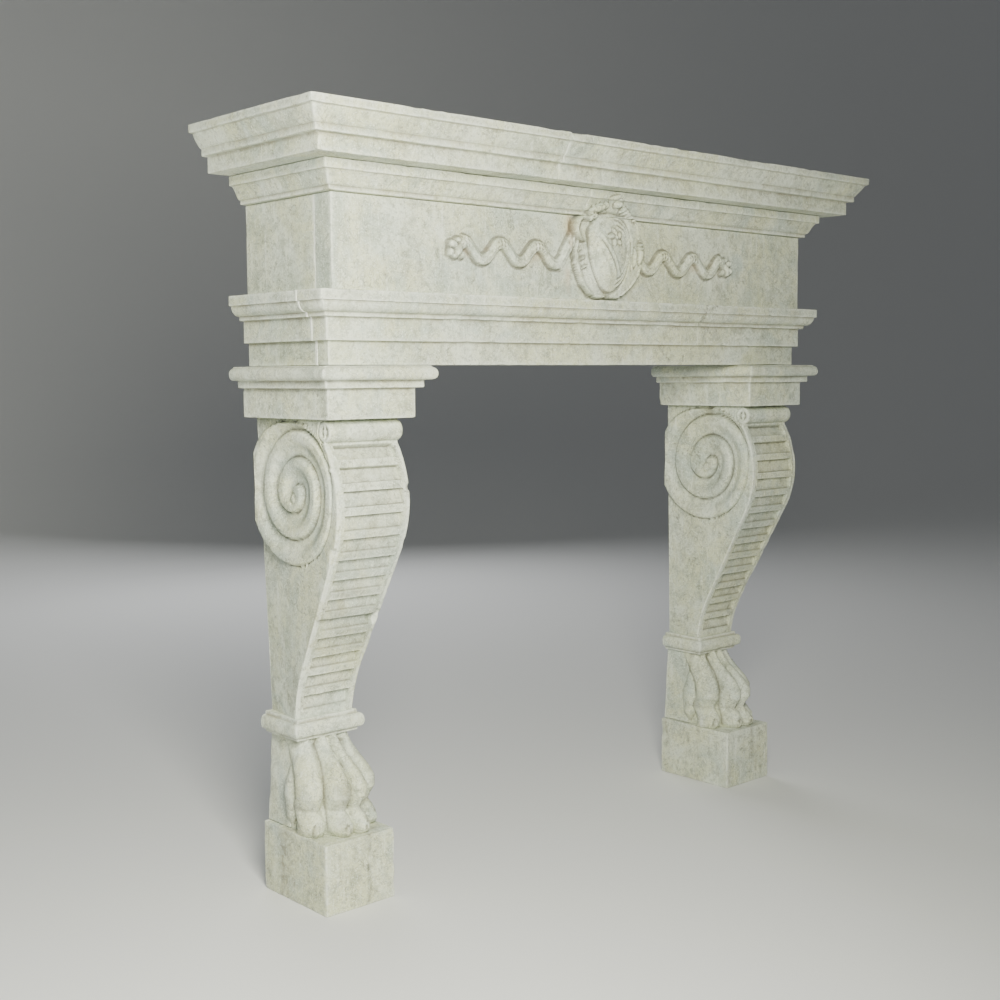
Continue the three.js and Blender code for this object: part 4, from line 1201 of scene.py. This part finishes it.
def build_frieze(stone):
    """The frieze slab, its front face on a fine grid that takes the carving."""
    corners = [
        (-FACE_HALF, SLAB_BACK), (FACE_HALF, SLAB_BACK), (FACE_HALF, FRIEZE_FACE),
        (CARVED_HALF, FRIEZE_FACE), (-CARVED_HALF, FRIEZE_FACE), (-FACE_HALF, FRIEZE_FACE),
    ]
    plan = plan_corners(corners, [(0, 0)] * 6)
    plan[3:5, 4:6] = (0, -1)

    def carve(points, marks):
        on_face = ease(FRIEZE_FACE - 3, FRIEZE_FACE - 0.3, points[..., 1])
        relief = carving(points[..., 0], points[..., 2]) * on_face
        points[..., 1] += relief
        # Painted shade at the foot of the carving's steps and in its valleys, and brown stain
        hollow, soot, stain = carving_marks(points, relief)
        marks["hollow"] = np.maximum(marks["hollow"], hollow * on_face)
        marks["soot"] = soot * on_face
        marks["stain"] = stain * on_face
        marks["arris"] = marks["arris"] * (1 - ease(0.5, 3, relief))
        return points, marks

    steps = [14, 8, 10, 1.95, 10, 8]
    build_block("frieze_front", plan, plain_profile(*FRIEZE_SPAN), steps, 1.95, stone, 81, shape=carve)


def build_bed_mould(stone):
    """Two L-shaped bed moulds; the crest over the cartouche is carved on the right-hand one."""
    corners = [
        (-FACE_HALF, 0), (-RETURN_INNER, 0), (-RETURN_INNER, SLAB_BACK),
        (BED_JOINT, SLAB_BACK), (BED_JOINT, FRIEZE_FACE), (-FACE_HALF, FRIEZE_FACE),
    ]
    plan = plan_corners(corners, [(-1, 0), (0, 0), (0, 0), (0, 0), (0, 1), (-1, 1)])
    build_block("bed_mould_left", plan, bed_mould_profile(), [12, 12, 12, 8, 12, 12], 6, stone, 91)

    joint = BED_LOW[0]
    corners = [
        (RETURN_INNER, 0), (FACE_HALF, 0), (FACE_HALF, FRIEZE_FACE), (CREST_END, FRIEZE_FACE),
        (joint, FRIEZE_FACE), (joint, SLAB_BACK), (RETURN_INNER, SLAB_BACK),
    ]
    plan = plan_corners(corners, [(0, 0), (1, 0), (1, 1), (0, 1), (0, 1), (0, 0), (0, 0)])
    plan[3, 4:6] = (0, -1)

    def carve(points, marks):
        in_front = points[..., 1] > FRIEZE_FACE + 6
        stands = np.clip((points[..., 0] - joint) / 2.5, 0, 1)
        relief = carving(points[..., 0], points[..., 2]) * in_front * stands
        carved = in_front & (FRIEZE_FACE + relief > points[..., 1])
        points[..., 1] = np.where(carved, FRIEZE_FACE + relief, points[..., 1])
        raised = np.where(carved, relief, soft_blur(relief, 1))
        # Painted shade in the crest's valleys
        valley = ease(0.25, 1.4, soft_blur(raised, 1) - raised) * (soft_blur(relief, 2) > 1)
        marks["hollow"] = np.maximum(marks["hollow"], valley)
        marks["soot"] = 0.6 * valley
        return points, marks

    steps = [9, 9, 9, 1.9, 6, 12, 9]
    build_block("bed_mould_right", plan, bed_mould_profile(), steps, 1.9, stone, 101, shape=carve)


def build_legs(stone):
    """Both legs: scroll, roller, collar, paw and block stand for the one CAD solid of each leg."""
    makers = (("scroll", scroll_grid), ("roller", roller_grid), ("collar", collar_grid), ("paw", paw_grid),
              ("paw_block", paw_block_grid))
    for word, side in SIDES.items():
        for order, (part, maker) in enumerate(makers):
            points, marks = maker(side, 120 + 20 * side + order)
            thing = grid_object(f"{part}_{word}", points, marks)
            finished(thing, stone[f"leg_{word}"], f"leg_{word}")


# The studio floor in metres: half width, near edge, start and radius of the bend, top of the backdrop
FLOOR_HALF = 16.0
FLOOR_NEAR = -9.0
BEND_START = 4.0
BEND_RADIUS = 3.0
BACKDROP_TOP = 9.0


def build_floor():
    """A plain pale floor that meets a far backdrop in a wide curve."""
    angle = np.linspace(0, math.pi / 2, 17)[1:]
    bend_end = BEND_START + BEND_RADIUS
    run = np.concatenate([[FLOOR_NEAR, BEND_START], BEND_START + BEND_RADIUS * np.sin(angle), [bend_end]])
    rise = np.concatenate([[0.0, 0.0], BEND_RADIUS - BEND_RADIUS * np.cos(angle), [BACKDROP_TOP]])
    width = np.array([-FLOOR_HALF, FLOOR_HALF])
    points = np.stack(np.broadcast_arrays(width[None, :], run[:, None], rise[:, None]), axis=-1)
    index = np.arange(len(run) * 2).reshape(len(run), 2)
    quads = np.stack([index[:-1, 0], index[:-1, 1], index[1:, 1], index[1:, 0]], axis=-1)
    mesh = bpy.data.meshes.new("studio_floor")
    mesh.from_pydata(points.reshape(-1, 3).tolist(), [], quads.tolist())
    mesh.polygons.foreach_set("use_smooth", np.ones(len(mesh.polygons), dtype=bool))
    floor = placed("studio_floor", mesh)
    paper, tree, shader = new_material("studio_paper")
    feed(tree, shader.inputs["Base Color"], (0.80, 0.80, 0.79))
    feed(tree, shader.inputs["Roughness"], 0.9)
    mesh.materials.append(paper)


# Camera and light

CAMERA_PLACE = (-2.138, -2.338 + WALL / MM, 1.032)
CAMERA_HEADING = math.radians(41.93)
CAMERA_PITCH = math.radians(-5.21)
CAMERA_ROLL = math.radians(-0.39)
CAMERA_LENS = 49.61


def build_camera():
    """The camera at the photograph's place: heading from +Y towards +X, then pitch, then roll."""
    ahead = Vector((
        math.sin(CAMERA_HEADING) * math.cos(CAMERA_PITCH),
        math.cos(CAMERA_HEADING) * math.cos(CAMERA_PITCH),
        math.sin(CAMERA_PITCH),
    ))
    level = Vector((math.cos(CAMERA_HEADING), -math.sin(CAMERA_HEADING), 0))
    above = level.cross(ahead)
    right = level * math.cos(CAMERA_ROLL) + above * math.sin(CAMERA_ROLL)
    up = above * math.cos(CAMERA_ROLL) - level * math.sin(CAMERA_ROLL)
    camera = bpy.data.cameras.new("photo_camera")
    camera.lens = CAMERA_LENS
    camera.sensor_width = 36.0
    camera.clip_end = 60.0
    thing = placed("photo_camera", camera)
    thing.matrix_world = Matrix.Translation(CAMERA_PLACE) @ Matrix((right, up, -ahead)).transposed().to_4x4()
    bpy.context.scene.camera = thing


def area_light(name, place, aim, size, power, colour):
    """A soft box that looks at a point."""
    light = bpy.data.lights.new(name, "AREA")
    light.shape = "RECTANGLE"
    light.size, light.size_y = size
    light.energy = power
    light.color = colour
    thing = placed(name, light)
    thing.location = place
    thing.rotation_euler = (Vector(aim) - Vector(place)).to_track_quat("-Z", "Y").to_euler()


def build_light():
    """A soft key beside the camera that falls off towards the right, a weak cool fill on the left side, a
    soft light behind that only the back sees, and a pale surround."""
    area_light("key", (-1.55, -1.75, 1.5), (-1.6, 0, 0.85), (0.7, 0.7), 120, (1.0, 1.0, 0.87))
    area_light("fill", (-4.4, -0.9, 1.7), (-0.4, 0, 0.8), (1.8, 1.8), 9, (0.60, 0.83, 1.0))
    area_light("rear", (1.6, 4.0, 2.3), (0.1, 0, 0.8), (2.4, 2.4), 75, (0.97, 0.99, 1.0))
    world = bpy.data.worlds.new("studio_air")
    world.use_nodes = True
    air = world.node_tree.nodes["Background"].inputs
    air["Color"].default_value = (0.86, 0.90, 0.93, 1)
    air["Strength"].default_value = 0.15
    bpy.context.scene.world = world


build_camera()
build_light()
build_floor()
stones = build_stones()
build_courses(stones)
build_mortar(lime_mortar())
build_legs(stones)
